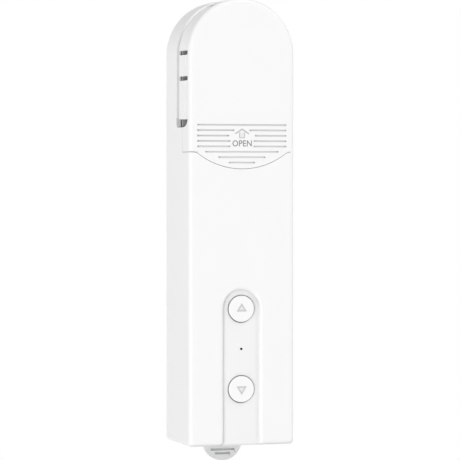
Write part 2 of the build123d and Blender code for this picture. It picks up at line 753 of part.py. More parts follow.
# Output gear on the shaft, with a web between hub and rim
with BuildPart() as output_gear:
    gear(output_centre, output_module, output_teeth, output_turn, output_back, output_front)
    rim_radius = output_module * (output_teeth / 2 - 1.25) - 2 * output_module
    column([output_centre], rim_radius, output_back, output_back + output_face / 4, mode=Mode.SUBTRACT)
    column([output_centre], rim_radius, output_front - output_face / 4, output_front, mode=Mode.SUBTRACT)
    column([output_centre], output_shaft_diameter, output_back, output_front)
    shaft_bore(output_back, output_front)

# Second reduction gear: a wheel and a pinion in one moulding
with BuildPart() as second_gear:
    gear(second_centre, second_module, second_teeth, second_pinion_turn, second_back, second_front)
    gear(second_centre, output_module, pinion_teeth, second_pinion_turn, output_back - gear_side_gap,
         second_back)
    column([second_centre], gear_hub_radius, second_front, gearbox_plate_depth - fit_gap)
    column([second_centre], gear_pin_diameter / 2 + running_gap, output_back - gear_side_gap,
           gearbox_plate_depth, mode=Mode.SUBTRACT)

# First reduction gear, driven by the motor
with BuildPart() as first_gear:
    gear(first_centre, first_module, first_teeth, first_pinion_turn, first_back, first_front)
    gear(first_centre, second_module, pinion_teeth, first_pinion_turn, second_back - fit_gap, first_back)
    column([first_centre], gear_hub_radius, first_front, gearbox_plate_depth - fit_gap)
    column([first_centre], gear_pin_diameter / 2 + running_gap, second_back - gear_side_gap,
           gearbox_plate_depth, mode=Mode.SUBTRACT)

pin_start = back + rear_cover_thickness / 2 + fit_gap
with BuildPart() as first_gear_pin:
    column([first_centre], gear_pin_diameter / 2, pin_start, plate_front)

with BuildPart() as second_gear_pin:
    column([second_centre], gear_pin_diameter / 2, pin_start, plate_front)


def ring(centre, outer, inner, start, end):
    """A plain bush or bearing ring."""
    column([centre], outer, start, end)
    column([centre], inner, start, end, mode=Mode.SUBTRACT)


# Bearings of the output shaft
with BuildPart() as front_bearing:
    ring(output_centre, bearing_diameter / 2, output_shaft_diameter / 2 + pin_gap, gearbox_plate_depth,
         bearing_hub_front)

with BuildPart() as rear_bush:
    ring(output_centre, rear_bush_diameter / 2, output_shaft_diameter / 2 + pin_gap,
         output_back - gear_side_gap - rear_bush_width, output_back - gear_side_gap)

# Motor: a flat can on the front of the gearbox plate, its shaft pointing to the rear
motor_front = plate_front + motor_length
motor_bore_end = motor_front - motor_cap_thickness
with BuildPart() as motor_can:
    column([motor_centre], motor_diameter / 2, plate_front, motor_front)
    fillet(motor_can.edges().filter_by(GeomType.CIRCLE), corner_radius)
    column([motor_centre], motor_boss_diameter / 2, plate_front - motor_boss_length, plate_front)
    column([motor_centre], motor_shaft_diameter / 2 + running_gap, plate_front - motor_boss_length,
           motor_bore_end, mode=Mode.SUBTRACT)
    column(motor_screw_places, screw_shank / 2 + pin_gap, plate_front, plate_front + screw_depth / 2,
           mode=Mode.SUBTRACT)

with BuildPart() as motor_end_cap:
    column([motor_centre], motor_diameter / 2 - 2 * corner_radius, motor_front,
           motor_front + motor_cap_thickness)
    for side in (-1, 1):
        middle = side * motor_diameter / 4
        block(middle - gear_side_gap, middle + gear_side_gap, motor_centre[1] - corner_radius,
              motor_centre[1] + corner_radius, motor_front, motor_front + motor_cap_thickness
              + gear_side_gap)

pinion_front = first_front + gear_side_gap
with BuildPart() as motor_shaft:
    column([motor_centre], motor_shaft_diameter / 2, pinion_front - motor_pinion_face,
           motor_bore_end - fit_gap)

with BuildPart() as motor_pinion:
    gear(motor_centre, first_module, pinion_teeth, motor_pinion_turn, pinion_front - motor_pinion_face,
         pinion_front)
    column([motor_centre], motor_shaft_diameter / 2 + pin_gap, pinion_front - motor_pinion_face,
           pinion_front, mode=Mode.SUBTRACT)

with BuildPart() as motor_screws:
    screws(motor_screw_places, gearbox_plate_depth, 1, screw_shank, screw_head, screw_head_thickness / 2,
           gearbox_plate_thickness + screw_depth / 2 - fit_gap)

# Battery: two cells held by two frames and joined by metal strips
cell_low = foot + cell_foot_height
cell_high = cell_low + cell_length


def cell(x):
    """One cell, standing upright."""
    with BuildSketch(Plane.XY.offset(cell_low)) as section:
        with Locations((x, -cell_depth)):
            Circle(cell_diameter / 2)
    extrude(section.sketch, amount=cell_length)


with BuildPart() as battery_cell_left:
    cell(-cell_spacing / 2)
    chamfer(battery_cell_left.edges().filter_by(GeomType.CIRCLE), gear_side_gap)

with BuildPart() as battery_cell_right:
    cell(cell_spacing / 2)
    chamfer(battery_cell_right.edges().filter_by(GeomType.CIRCLE), gear_side_gap)

with BuildPart() as battery_frames:
    frame_back = channel_floor_front + fit_gap
    frame_front = cell_depth + cell_diameter / 2 - slide_gap
    lower_frame = foot + sleeve_height + sleeve_wall + cell_frame_gap
    upper_frame = cell_high - cell_frame_gap - cell_frame_thickness
    for level in (lower_frame, upper_frame):
        with BuildSketch(Plane.XY.offset(level)) as frame:
            with Locations((0, -(frame_back + frame_front) / 2)):
                Rectangle(2 * (half_width - wall - fit_gap), frame_front - frame_back)
            with Locations((0, -cell_depth)):
                with GridLocations(cell_spacing, 0, 2, 1):
                    Circle(cell_diameter / 2 + fit_gap, mode=Mode.SUBTRACT)
        extrude(frame.sketch, amount=cell_frame_thickness)

with BuildPart() as battery_strips:
    for low in (cell_low - cell_strip_thickness, cell_high):
        block(-cell_spacing / 2 - cell_strip_width / 2, cell_spacing / 2 + cell_strip_width / 2, low,
              low + cell_strip_thickness, cell_depth - cell_strip_width / 2,
              cell_depth + cell_strip_width / 2)

# Circuit board behind the valley
with BuildPart() as circuit_board:
    block(-board_half, board_half, foot + board_foot_height, board_top, board_depth, board_front)
    fillet(circuit_board.edges().filter_by(Axis.Y), corner_radius)
    column(both_sides(board_screw_places), screw_shank / 2 + fit_gap, board_depth, board_front,
           mode=Mode.SUBTRACT)

with BuildPart() as board_screws:
    screws(both_sides(board_screw_places), board_depth, 1, screw_shank, screw_head,
           screw_head_thickness - slide_gap, screw_depth - wall)

switch_front = board_front + switch_thickness
plunger_room = plunger_diameter / 2 + fit_gap
with BuildPart() as push_switches:
    for height in button_heights:
        middle = foot + height
        block(-switch_size / 2, switch_size / 2, middle - switch_size / 2, middle + switch_size / 2,
              board_front, switch_front)
        column([(0, middle)], plunger_room, board_front + switch_thickness / 2, switch_front,
               mode=Mode.SUBTRACT)

flange_front = valley_back - fit_gap
flange_back = flange_front - button_flange_thickness
plunger_back = board_front + switch_thickness / 2 + button_travel + fit_gap


def plunger(height):
    """The moving stem of a push switch."""
    column([(0, foot + height)], plunger_diameter / 2, plunger_back, flange_back - pin_gap)


with BuildPart() as up_switch_plunger:
    plunger(button_heights[0])

with BuildPart() as down_switch_plunger:
    plunger(button_heights[1])


def button(builder, height):
    """A round button cap with a flange that keeps it behind the front wall."""
    centre = (0, foot + height)
    column([centre], button_diameter / 2, flange_back, valley_floor + button_rise)
    fillet(builder.faces().sort_by(Axis.Y)[0].edges(), button_edge_radius)
    column([centre], button_diameter / 2 + button_flange, flange_back, flange_front)


with BuildPart() as up_button:
    button(up_button, button_heights[0])

with BuildPart() as down_button:
    button(down_button, button_heights[1])

# Status light: a clear guide in the front wall over a small lamp
lamp_front = board_front + gear_side_gap
with BuildPart() as light_guide:
    column([(0, foot + light_height)], light_diameter, lamp_front + slide_gap, flange_back)
    column([(0, foot + light_height)], 1.5 * light_diameter, flange_back, flange_front)
    column([(0, foot + light_height)], light_diameter / 2, flange_front, valley_floor)

with BuildPart() as status_lamp:
    block(-light_diameter, light_diameter, foot + light_height - light_diameter / 2,
          foot + light_height + light_diameter / 2, board_front, lamp_front)

# Charging socket: a metal shell with a tongue, open at the foot
usb_low = foot + usb_setback
with BuildPart() as charging_socket:
    with BuildSketch(Plane.XY.offset(usb_low)) as shell:
        with Locations((0, -board_front - usb_thickness / 2)):
            RectangleRounded(usb_width, usb_thickness, usb_thickness / 2 - fit_gap)
    extrude(shell.sketch, amount=usb_length)
    with BuildSketch(Plane.XY.offset(usb_low)) as mouth:
        with Locations((0, -board_front - usb_thickness / 2)):
            RectangleRounded(usb_width - 2 * usb_skin, usb_thickness - 2 * usb_skin,
                             usb_thickness / 2 - fit_gap - usb_skin)
            Rectangle(usb_width - 6 * usb_skin, 2 * usb_skin, mode=Mode.SUBTRACT)
    extrude(mouth.sketch, amount=usb_length - 3 * usb_skin, mode=Mode.SUBTRACT)

# Larger parts on the board: radio module with its shield, motor driver and wire connectors
with BuildPart() as radio_module:
    low = board_top - radio_top_gap - radio_size[1]
    right = -switch_size / 2 - board_part_gap
    block(right - radio_size[0], right, low, low + radio_size[1], board_front, board_front + radio_thickness)
    chamfer(radio_module.faces().sort_by(Axis.Y)[0].edges(), slide_gap)

with BuildPart() as motor_driver:
    low = board_top - driver_top_gap - driver_size
    left = switch_size / 2 + board_part_gap
    block(left, left + driver_size, low, low + driver_size, board_front, board_front + driver_thickness)

with BuildPart() as board_connectors:
    right = board_half - connector_edge
    left = right - connector_size[0]
    socket_front = board_front + connector_thickness
    for gap in connector_top_gaps:
        high = board_top - gap
        low = high - connector_size[1]
        block(left, right, low, high, board_front, socket_front)
        block(left + connector_wall, right - connector_wall, low + connector_wall, high - connector_wall,
              board_front + connector_floor, socket_front, mode=Mode.SUBTRACT)

# Release tab: a ribbed half disc below the foot, with a body, ears and a pawl in the sleeve
with BuildPart() as release_tab:
    with BuildSketch(front_plane(tab_back)) as tab:
        with Locations((0, foot - tab_centre_drop)):
            Circle(tab_radius)
        with Locations((0, foot + (tab_body_height - tab_centre_drop) / 2)):
            Rectangle(2 * tab_radius, tab_body_height + tab_centre_drop)
        with Locations((0, foot + (tab_ear_height + tab_body_height) / 2)):
            Rectangle(2 * (tab_radius + tab_ear), tab_body_height - tab_ear_height)
        with Locations((0, foot + (tab_body_height + tab_neck_height) / 2)):
            Rectangle(tab_neck_width, tab_neck_height - tab_body_height)
    extrude(tab.sketch, amount=tab_thickness)
    for row in range(1, tab_rib_rows + 1):
        drop = tab_rib_start + tab_rib_pitch * row
        reach = sqrt((tab_radius - tab_rib_margin)**2 - drop**2)
        block(-reach, reach, foot - drop - tab_rib_width / 2, foot - drop + tab_rib_width / 2,
              tab_front - tab_rib_depth, tab_front, mode=Mode.SUBTRACT)
    with BuildSketch(Plane.YZ.offset(-tab_neck_width / 2)) as pawl:
        with BuildLine():
            Polyline(
                (-tab_back, foot + tab_neck_height),
                (-rail_front - pawl_gap, foot + tab_neck_height),
                (-channel_floor_front, foot + tab_neck_height - pawl_height),
                (-tab_back, foot + tab_neck_height - pawl_height),
                close=True,
            )
        make_face()
    extrude(pawl.sketch, amount=tab_neck_width)

with BuildPart() as tab_retainer:
    block(-sleeve_outer, sleeve_outer, foot, foot + sleeve_height + sleeve_wall, sleeve_front, retainer_front)

# Return spring of the tab: a steel strip bent in a zigzag, between the neck and the top of the sleeve
spring_low = foot + tab_neck_height + fit_gap + lock_spring_strip / 2
spring_high = foot + sleeve_height - fit_gap - lock_spring_strip / 2
leg_rise = (spring_high - spring_low) / lock_spring_legs
with BuildPart() as tab_spring:
    with BuildSketch(front_plane(tab_back + slide_gap)) as zigzag:
        with BuildLine():
            Polyline(*[(lock_spring_half * (-1) ** leg, spring_low + leg_rise * leg)
                       for leg in range(lock_spring_legs + 1)])
        trace(line_width=lock_spring_strip)
    extrude(zigzag.sketch, amount=tab_thickness - 2 * slide_gap)

pieces = {
    "wall_plate": wall_plate,
    "main_housing": main_housing,
    "gear_cover": gear_cover,
    "rear_cover": rear_cover,
    "rear_cover_screws": rear_cover_screws,
    "gearbox_plate": gearbox_plate,
    "gearbox_screws": gearbox_screws,
    "chain_guide": chain_guide,
    "guide_screws": guide_screws,
    "bead_sprocket": bead_sprocket,
    "sprocket_screw": sprocket_screw,
    "output_shaft": output_shaft,
    "output_gear": output_gear,
    "front_bearing": front_bearing,
    "rear_bush": rear_bush,
    "second_gear": second_gear,
    "second_gear_pin": second_gear_pin,
    "first_gear": first_gear,
    "first_gear_pin": first_gear_pin,
    "motor_can": motor_can,
    "motor_end_cap": motor_end_cap,
    "motor_shaft": motor_shaft,
    "motor_pinion": motor_pinion,
    "motor_screws": motor_screws,
    "battery_cell_left": battery_cell_left,
    "battery_cell_right": battery_cell_right,
    "battery_frames": battery_frames,
    "battery_strips": battery_strips,
    "circuit_board": circuit_board,
    "board_screws": board_screws,
    "push_switches": push_switches,
    "up_switch_plunger": up_switch_plunger,
    "down_switch_plunger": down_switch_plunger,
    "up_button": up_button,
    "down_button": down_button,
    "light_guide": light_guide,
    "status_lamp": status_lamp,
    "charging_socket": charging_socket,
    "radio_module": radio_module,
    "motor_driver": motor_driver,
    "board_connectors": board_connectors,
    "release_tab": release_tab,
    "tab_retainer": tab_retainer,
    "tab_spring": tab_spring,
}

os.makedirs("parts", exist_ok=True)
for name, piece in pieces.items():
    piece.part.label = name
    export_step(piece.part, f"parts/{name}.step")
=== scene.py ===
# %% [markdown]
# Roller shade drive: the looks.
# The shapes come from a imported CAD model, which is loaded first as a fixed frame. This script gives
# each moulding, gear and screw its finish, adds the signs that are printed or sunk into the front,
# and sets up the camera, the lamps and the floor. Lengths are in metres, X runs to the right, the
# front looks towards -Y and Z points up.

# %% Load the frame
import math

import bmesh
import bpy
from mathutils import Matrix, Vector


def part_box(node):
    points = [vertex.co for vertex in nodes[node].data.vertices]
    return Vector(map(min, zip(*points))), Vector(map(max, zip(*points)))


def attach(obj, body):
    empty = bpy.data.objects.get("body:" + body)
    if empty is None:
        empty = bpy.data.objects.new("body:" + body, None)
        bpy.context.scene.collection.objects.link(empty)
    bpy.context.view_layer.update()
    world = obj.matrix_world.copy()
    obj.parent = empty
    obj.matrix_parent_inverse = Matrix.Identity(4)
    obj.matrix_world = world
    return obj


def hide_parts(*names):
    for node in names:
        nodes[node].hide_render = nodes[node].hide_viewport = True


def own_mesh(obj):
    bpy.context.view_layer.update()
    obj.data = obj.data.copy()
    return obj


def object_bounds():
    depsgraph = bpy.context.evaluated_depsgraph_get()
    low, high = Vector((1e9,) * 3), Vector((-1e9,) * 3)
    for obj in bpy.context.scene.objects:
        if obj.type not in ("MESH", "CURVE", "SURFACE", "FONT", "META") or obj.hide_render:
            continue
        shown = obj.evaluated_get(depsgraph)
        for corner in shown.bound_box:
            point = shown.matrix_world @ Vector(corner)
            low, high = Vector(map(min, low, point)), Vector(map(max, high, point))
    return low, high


MM = 0.001  # one millimetre in metres

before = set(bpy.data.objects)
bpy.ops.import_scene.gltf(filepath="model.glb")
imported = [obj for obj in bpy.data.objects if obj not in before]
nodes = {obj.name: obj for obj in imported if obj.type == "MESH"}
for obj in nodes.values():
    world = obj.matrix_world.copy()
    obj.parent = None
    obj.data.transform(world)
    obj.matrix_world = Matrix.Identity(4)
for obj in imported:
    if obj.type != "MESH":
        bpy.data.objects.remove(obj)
cad_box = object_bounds()

# %% [markdown]
# The camera comes before anything else, because every later choice is judged through it. The
# object was photographed from about 1.26 m with a long lens, 18 degrees to its left and just
# above its middle. A long lens keeps tall edges nearly parallel. Its place was worked out from
# the four tall edges and the arch of the head, and it is set here from a target point, a viewing
# direction and a distance, which are easier to adjust than a location and three angles.


# %% Camera
def aim(obj, place, target):
    """Puts a camera or lamp at a place and turns it towards a target."""
    obj.location = place
    obj.rotation_euler = (Vector(target) - Vector(place)).to_track_quat("-Z", "Y").to_euler()


view_target = Vector((-1.13, -22.8, 45.03)) * MM
view_direction = Vector((0.3069, 0.9515, -0.0225)).normalized()
view_distance = 1.2597
# The lens follows from the photograph's focal length and width, both in pixels
FOCAL_PIXELS, FRAME_PIXELS = 2656, 460
SENSOR_WIDTH = 36  # in millimetres, as Blender counts it

camera_data = bpy.data.cameras.new("studio_camera")
camera_data.sensor_width = SENSOR_WIDTH
camera_data.lens = SENSOR_WIDTH * (FOCAL_PIXELS / FRAME_PIXELS)
camera_data.clip_end = 50
camera = bpy.data.objects.new("studio_camera", camera_data)
bpy.context.collection.objects.link(camera)
aim(camera, view_target - view_direction * view_distance, view_target)
bpy.context.scene.camera = camera
print("camera at", [round(v, 3) for v in camera.location], "lens", round(camera_data.lens, 1), "mm")

# %% [markdown]
# A white object on white is lit almost evenly, and only its edges tell its form. The world stands
# in for the walls of a white studio. Its level depends on two directions: from the front round to
# the backdrop, and from the horizon up to the ceiling, which is dark. That is why a surface that
# looks up comes out a little greyer than one that looks forward. Camera, glossy and transmission
# rays see plain white instead, so the backdrop shows and reflects as white without any more light
# on the object.


# %% World
def seen_rays(tree):
    """1 for camera, glossy and transmission rays, 0 for the rays that carry light."""
    path = tree.nodes.new("ShaderNodeLightPath")
    seen = path.outputs["Is Camera Ray"]
    for kind in ("Is Glossy Ray", "Is Transmission Ray"):
        larger = tree.nodes.new("ShaderNodeMath")
        larger.operation = "MAXIMUM"
        tree.links.new(seen, larger.inputs[0])
        tree.links.new(path.outputs[kind], larger.inputs[1])
        seen = larger.outputs[0]
    return seen


world = bpy.data.worlds.new("studio")
bpy.context.scene.world = world
world.use_nodes = True
world_nodes, world_links = world.node_tree.nodes, world.node_tree.links
world_nodes.clear()
world_out = world_nodes.new("ShaderNodeOutputWorld")
fill, backdrop = world_nodes.new("ShaderNodeBackground"), world_nodes.new("ShaderNodeBackground")
backdrop.inputs["Color"].default_value = (1, 1, 1, 1)
direction = world_nodes.new("ShaderNodeTexCoord")
parts = world_nodes.new("ShaderNodeSeparateXYZ")
world_links.new(direction.outputs["Generated"], parts.inputs[0])
# Places and levels of the walls, from the front (0) through the sides (0.5) to the backdrop (1)
WALLS = ((0.0, 0.60), (0.45, 0.72), (0.62, 0.75), (0.80, 0.60), (0.93, 0.78), (1.0, 0.78))
# The level holds up to this Z of the direction, and then falls to this share of it straight above
WALL_TOP, CEILING_SHARE = 0.15, 0.25
around = world_nodes.new("ShaderNodeMapRange")
around.inputs["From Min"].default_value = -1
walls = world_nodes.new("ShaderNodeValToRGB")
stops = walls.color_ramp.elements
for index, (place, level) in enumerate(WALLS):
    stop = stops[index] if index < 2 else stops.new(place)  # a new ramp has two stops
    stop.position, stop.color = place, (level, level, level, 1)
world_links.new(parts.outputs["Y"], around.inputs["Value"])
world_links.new(around.outputs["Result"], walls.inputs["Fac"])
world_links.new(walls.outputs["Color"], fill.inputs["Color"])
upward = world_nodes.new("ShaderNodeMapRange")
for socket, value in (("From Min", WALL_TOP), ("From Max", 1),
                      ("To Min", 1), ("To Max", CEILING_SHARE)):
    upward.inputs[socket].default_value = value
world_links.new(parts.outputs["Z"], upward.inputs["Value"])
world_links.new(upward.outputs["Result"], fill.inputs["Strength"])
either = world_nodes.new("ShaderNodeMixShader")
world_links.new(seen_rays(world.node_tree), either.inputs[0])
world_links.new(fill.outputs[0], either.inputs[1])
world_links.new(backdrop.outputs[0], either.inputs[2])
world_links.new(either.outputs[0], world_out.inputs[0])
print("walls from front to back:", [level for _, level in WALLS])

# %% [markdown]
# Three soft lamps give direction. A tall one at the left, low down, brightens the bank of the
# valley that faces it and draws the white line along the front left edge. A square one, above the
# front and a little to the right, lights the upper roundings and leaves the bank under the
# valley's arch in shade. A weaker one high at the right keeps the rounding of the head white on
# that side.


# %% Lamps
def area_lamp(name, place, target, width, height, power):
    """A soft rectangular lamp that looks at a target."""
    data = bpy.data.lights.new(name, "AREA")
    data.shape, data.size, data.size_y, data.energy = "RECTANGLE", width, height, power
    lamp = bpy.data.objects.new(name, data)
    bpy.context.collection.objects.link(lamp)
    aim(lamp, place, target)
    return lamp


lamp_target = (0, -0.02, 0.045)
side_lamp = area_lamp("side_lamp", (-2.2, -1.9, -0.5), lamp_target,
                      width=0.7, height=1.2, power=37.0)
top_lamp = area_lamp("top_lamp", (1.25, -2.75, 2.9), lamp_target,
                     width=1.8, height=1.8, power=41.0)
rim_lamp = area_lamp("rim_lamp", (2.0, -0.5, 2.2), lamp_target,
                     width=1.0, height=1.0, power=23.0)
bpy.context.scene.view_settings.view_transform = "Standard"
print("lamps", [lamp.data.energy for lamp in (side_lamp, top_lamp, rim_lamp)], "W")

# %% [markdown]
# The drive hangs on a wall, so the floor lies well below it and doesn't cut through the picture.
# Under the object it is a plain pale matt surface that takes the soft shadow. Further out it
# turns into plain white for camera, glossy and transmission rays, so that no horizon line shows
# behind the object.


# %% Floor
FLOOR_DROP, FLOOR_HALF, FLOOR_LEVEL = 0.30, 0.55, 0.93
FADE_START, FADE_END = 0.40, 0.60  # distances from the origin, over which the floor turns white


def floor_material():
    """A pale matt floor, which turns white for camera, glossy and transmission rays further out."""
    made = bpy.data.materials.new("studio_floor")
    made.use_nodes = True
    n, links = made.node_tree.nodes, made.node_tree.links
    n.clear()
    out = n.new("ShaderNodeOutputMaterial")
    matt, glow = n.new("ShaderNodeBsdfDiffuse"), n.new("ShaderNodeEmission")
    mix = n.new("ShaderNodeMixShader")
    matt.inputs["Color"].default_value = (FLOOR_LEVEL, FLOOR_LEVEL, FLOOR_LEVEL, 1)
    place = n.new("ShaderNodeTexCoord")
    reach = n.new("ShaderNodeVectorMath")
    reach.operation = "LENGTH"
    spread = n.new("ShaderNodeMapRange")
    spread.interpolation_type = "SMOOTHSTEP"
    spread.inputs["From Min"].default_value = FADE_START
    spread.inputs["From Max"].default_value = FADE_END
    both = n.new("ShaderNodeMath")
    both.operation = "MULTIPLY"
    links.new(place.outputs["Object"], reach.inputs[0])
    links.new(reach.outputs["Value"], spread.inputs["Value"])
    links.new(spread.outputs["Result"], both.inputs[0])
    links.new(seen_rays(made.node_tree), both.inputs[1])
    links.new(both.outputs[0], mix.inputs[0])
    links.new(matt.outputs[0], mix.inputs[1])
    links.new(glow.outputs[0], mix.inputs[2])
    links.new(mix.outputs[0], out.inputs[0])
    return made


def link_mesh(name, verts, faces, material):
    """A new mesh object with one material, at the origin."""
    mesh = bpy.data.meshes.new(name)
    mesh.from_pydata(verts, [], faces)
    mesh.materials.append(material)
    obj = bpy.data.objects.new(name, mesh)
    bpy.context.collection.objects.link(obj)
    return obj


floor_z = cad_box[0][2] - FLOOR_DROP
corner_signs = ((-1, -1), (1, -1), (1, 1), (-1, 1))
corners = [(x * FLOOR_HALF, y * FLOOR_HALF, floor_z) for x, y in corner_signs]
floor = link_mesh("studio_floor", corners, [(0, 1, 2, 3)], floor_material())
print("floor at", round(floor_z * 1000, 1), "mm")

# %% [markdown]
# Moulded plastic isn't flat: a spark-eroded mould leaves a fine, even grain, and the polymer
# flows with faint clouds of gloss. Narrow grooves and inner corners get a painted shade: an
# Ambient Occlusion node finds them, and the colour is darkened there. These effects appear in
# every plastic here, so they are one node group with named inputs. It reads Object
# coordinates, because each piece keeps its place in its mesh, and it puts out a colour, a
# roughness and a height. The material itself holds the shader and the bump.


# %% Helpers for node groups
def shader_group(name, inputs, outputs):
    """An empty shader group with named sockets, and its input and output nodes."""
    tree = bpy.data.node_groups.new(name, "ShaderNodeTree")
    new_socket = tree.interface.new_socket
    for label, kind, value in inputs:
        new_socket(name=label, in_out="INPUT", socket_type=kind).default_value = value
    for label, kind in outputs:
        new_socket(name=label, in_out="OUTPUT", socket_type=kind)
    return tree, tree.nodes.new("NodeGroupInput"), tree.nodes.new("NodeGroupOutput")


def scaled(tree, value, factor, offset=0.0):
    """value * factor + offset, with sockets or numbers for each."""
    node = tree.nodes.new("ShaderNodeMath")
    node.operation = "MULTIPLY_ADD"
    for index, source in enumerate((value, factor, offset)):
        if isinstance(source, (int, float)):
            node.inputs[index].default_value = source
        else:
            tree.links.new(source, node.inputs[index])
    return node.outputs[0]


def noise(tree, vector, scale, detail, roughness=0.5):
    """A noise texture on the given coordinates."""
    node = tree.nodes.new("ShaderNodeTexNoise")
    tree.links.new(vector, node.inputs["Vector"])
    if isinstance(scale, (int, float)):
        node.inputs["Scale"].default_value = scale
    else:
        tree.links.new(scale, node.inputs["Scale"])
    node.inputs["Detail"].default_value = detail
    node.inputs["Roughness"].default_value = roughness
    return node.outputs["Fac"]


# %% Moulded plastic as a group
CLOUDS_PER_METRE, CLOUD_DETAIL = 38.0, 3.0
GRAIN_DETAIL, GRAIN_ROUGHNESS = 2.0, 0.6
CORNER_SAMPLES = 8


def moulded_group():
    """Shader group: a colour with clouds and painted shade in corners, a roughness and a grain
    height.
    """
    tree, given, put = shader_group(
        "moulded_plastic",
        [("Colour", "NodeSocketColor", (0.9, 0.9, 0.9, 1)),
         ("Grain per metre", "NodeSocketFloat", 2600.0), ("Clouds", "NodeSocketFloat", 0.02),
         ("Gloss", "NodeSocketFloat", 0.4), ("Gloss range", "NodeSocketFloat", 0.06),
         ("Corner shade", "NodeSocketFloat", 0.3), ("Corner reach", "NodeSocketFloat", 0.0025),
         ("Level", "NodeSocketFloat", 1.0)],
        [("Colour", "NodeSocketColor"), ("Roughness", "NodeSocketFloat"),
         ("Height", "NodeSocketFloat")])
    where = tree.nodes.new("ShaderNodeTexCoord").outputs["Object"]
    cloud = noise(tree, where, CLOUDS_PER_METRE, CLOUD_DETAIL)
    grain = noise(tree, where, given.outputs["Grain per metre"], GRAIN_DETAIL, GRAIN_ROUGHNESS)
    # The clouds swing about 1, so half their height is taken off again
    shade = scaled(tree, cloud, given.outputs["Clouds"], 1.0)
    dim = scaled(tree, given.outputs["Clouds"], -0.5)
    # Painted shade: where the Ambient Occlusion node finds a corner within the reach, the colour is
    # darkened by up to the Corner shade share
    corner = tree.nodes.new("ShaderNodeAmbientOcclusion")
    corner.samples = CORNER_SAMPLES
    tree.links.new(given.outputs["Corner reach"], corner.inputs["Distance"])
    in_open = scaled(tree, given.outputs["Corner shade"], -1.0, 1.0)
    opened = scaled(tree, corner.outputs["AO"], given.outputs["Corner shade"], in_open)
    clouded = scaled(tree, shade, 1.0, dim)
    level = scaled(tree, scaled(tree, clouded, opened), given.outputs["Level"])
    tint = tree.nodes.new("ShaderNodeVectorMath")
    tint.operation = "SCALE"
    tree.links.new(given.outputs["Colour"], tint.inputs[0])
    tree.links.new(level, tint.inputs["Scale"])
    rough = scaled(tree, cloud, given.outputs["Gloss range"], given.outputs["Gloss"])
    tree.links.new(tint.outputs[0], put.inputs["Colour"])
    tree.links.new(rough, put.inputs["Roughness"])
    tree.links.new(grain, put.inputs["Height"])
    return tree


MOULDED = moulded_group()
print("group", MOULDED.name, "with", len(MOULDED.nodes), "nodes")

# %% [markdown]
# A plastic material places that group, feeds a Bump node from its height and a Bevel node before
# it. The Bevel node rounds the normals along sharp CAD edges by a fraction of a millimetre. Real
# mouldings never have a perfectly sharp edge, and that thin highlight is what the eye reads as
# thickness.


# %% Plastic materials
PLASTIC_IOR = 1.5
PLASTIC_GLOSS_RANGE = 0.06
GRAIN_HEIGHT = 0.2 * MM
EDGE_SAMPLES = 4
SHELL_CORNER_SHADE = 0.5
WHITE = (0.925, 0.925, 0.925)


def plastic(name, colour, gloss, grain=2600.0, depth=0.04, clouds=0.02, edge=0.00018,
            corner_shade=0.3):
    """Moulded plastic: grain, faint clouds of gloss and softly rounded edges."""
    made = bpy.data.materials.new(name)
    made.use_nodes = True
    tree = made.node_tree
    shader = tree.nodes["Principled BSDF"]
    surface = tree.nodes.new("ShaderNodeGroup")
    surface.node_tree = MOULDED
    surface.inputs["Colour"].default_value = (*colour, 1)
    surface.inputs["Grain per metre"].default_value = grain
    surface.inputs["Clouds"].default_value = clouds
    surface.inputs["Gloss"].default_value = gloss - PLASTIC_GLOSS_RANGE / 2
    surface.inputs["Gloss range"].default_value = PLASTIC_GLOSS_RANGE
    surface.inputs["Corner shade"].default_value = corner_shade
    bump = tree.nodes.new("ShaderNodeBump")
    bump.inputs["Strength"].default_value = depth
    bump.inputs["Distance"].default_value = GRAIN_HEIGHT
    if edge:
        rounding = tree.nodes.new("ShaderNodeBevel")
        rounding.samples = EDGE_SAMPLES
        rounding.inputs["Radius"].default_value = edge
        tree.links.new(rounding.outputs["Normal"], bump.inputs["Normal"])
    shader.inputs["IOR"].default_value = PLASTIC_IOR
    tree.links.new(surface.outputs["Colour"], shader.inputs["Base Color"])
    tree.links.new(surface.outputs["Roughness"], shader.inputs["Roughness"])
    tree.links.new(surface.outputs["Height"], bump.inputs["Height"])
    tree.links.new(bump.outputs["Normal"], shader.inputs["Normal"])
    return made


shell_white = plastic("shell_white", WHITE, gloss=0.5, corner_shade=SHELL_CORNER_SHADE)
housing_white = plastic("housing_white", WHITE, gloss=0.5)
cover_white = plastic("cover_white", WHITE, gloss=0.5)
button_white = plastic("button_white", (0.935, 0.935, 0.935), gloss=0.36, grain=3200.0, depth=0.03)
tab_grey = plastic("tab_grey", (0.725, 0.735, 0.73), gloss=0.45, depth=0.06, clouds=0.03,
                   corner_shade=0.6)
bracket_white = plastic("bracket_white", (0.80, 0.80, 0.79), gloss=0.5, depth=0.08)
inner_dark = plastic("inner_dark", (0.045, 0.046, 0.048), gloss=0.5, depth=0.08, clouds=0.10)
gear_acetal = plastic("gear_acetal", (0.78, 0.76, 0.69), gloss=0.34, depth=0.03, clouds=0.05,
                      edge=0.00008)
inner_grey = plastic("inner_grey", (0.40, 0.405, 0.41), gloss=0.5, depth=0.08, clouds=0.06)
sprocket_grey = plastic("sprocket_grey", (0.20, 0.205, 0.21), gloss=0.38, depth=0.04, clouds=0.06)
black_plastic = plastic("black_plastic", (0.018, 0.018, 0.019), gloss=0.46, depth=0.05, clouds=0.12)
endings = ("white", "grey", "dark", "acetal", "plastic")
print("plastics:", [made.name for made in bpy.data.materials if made.name.endswith(endings)])
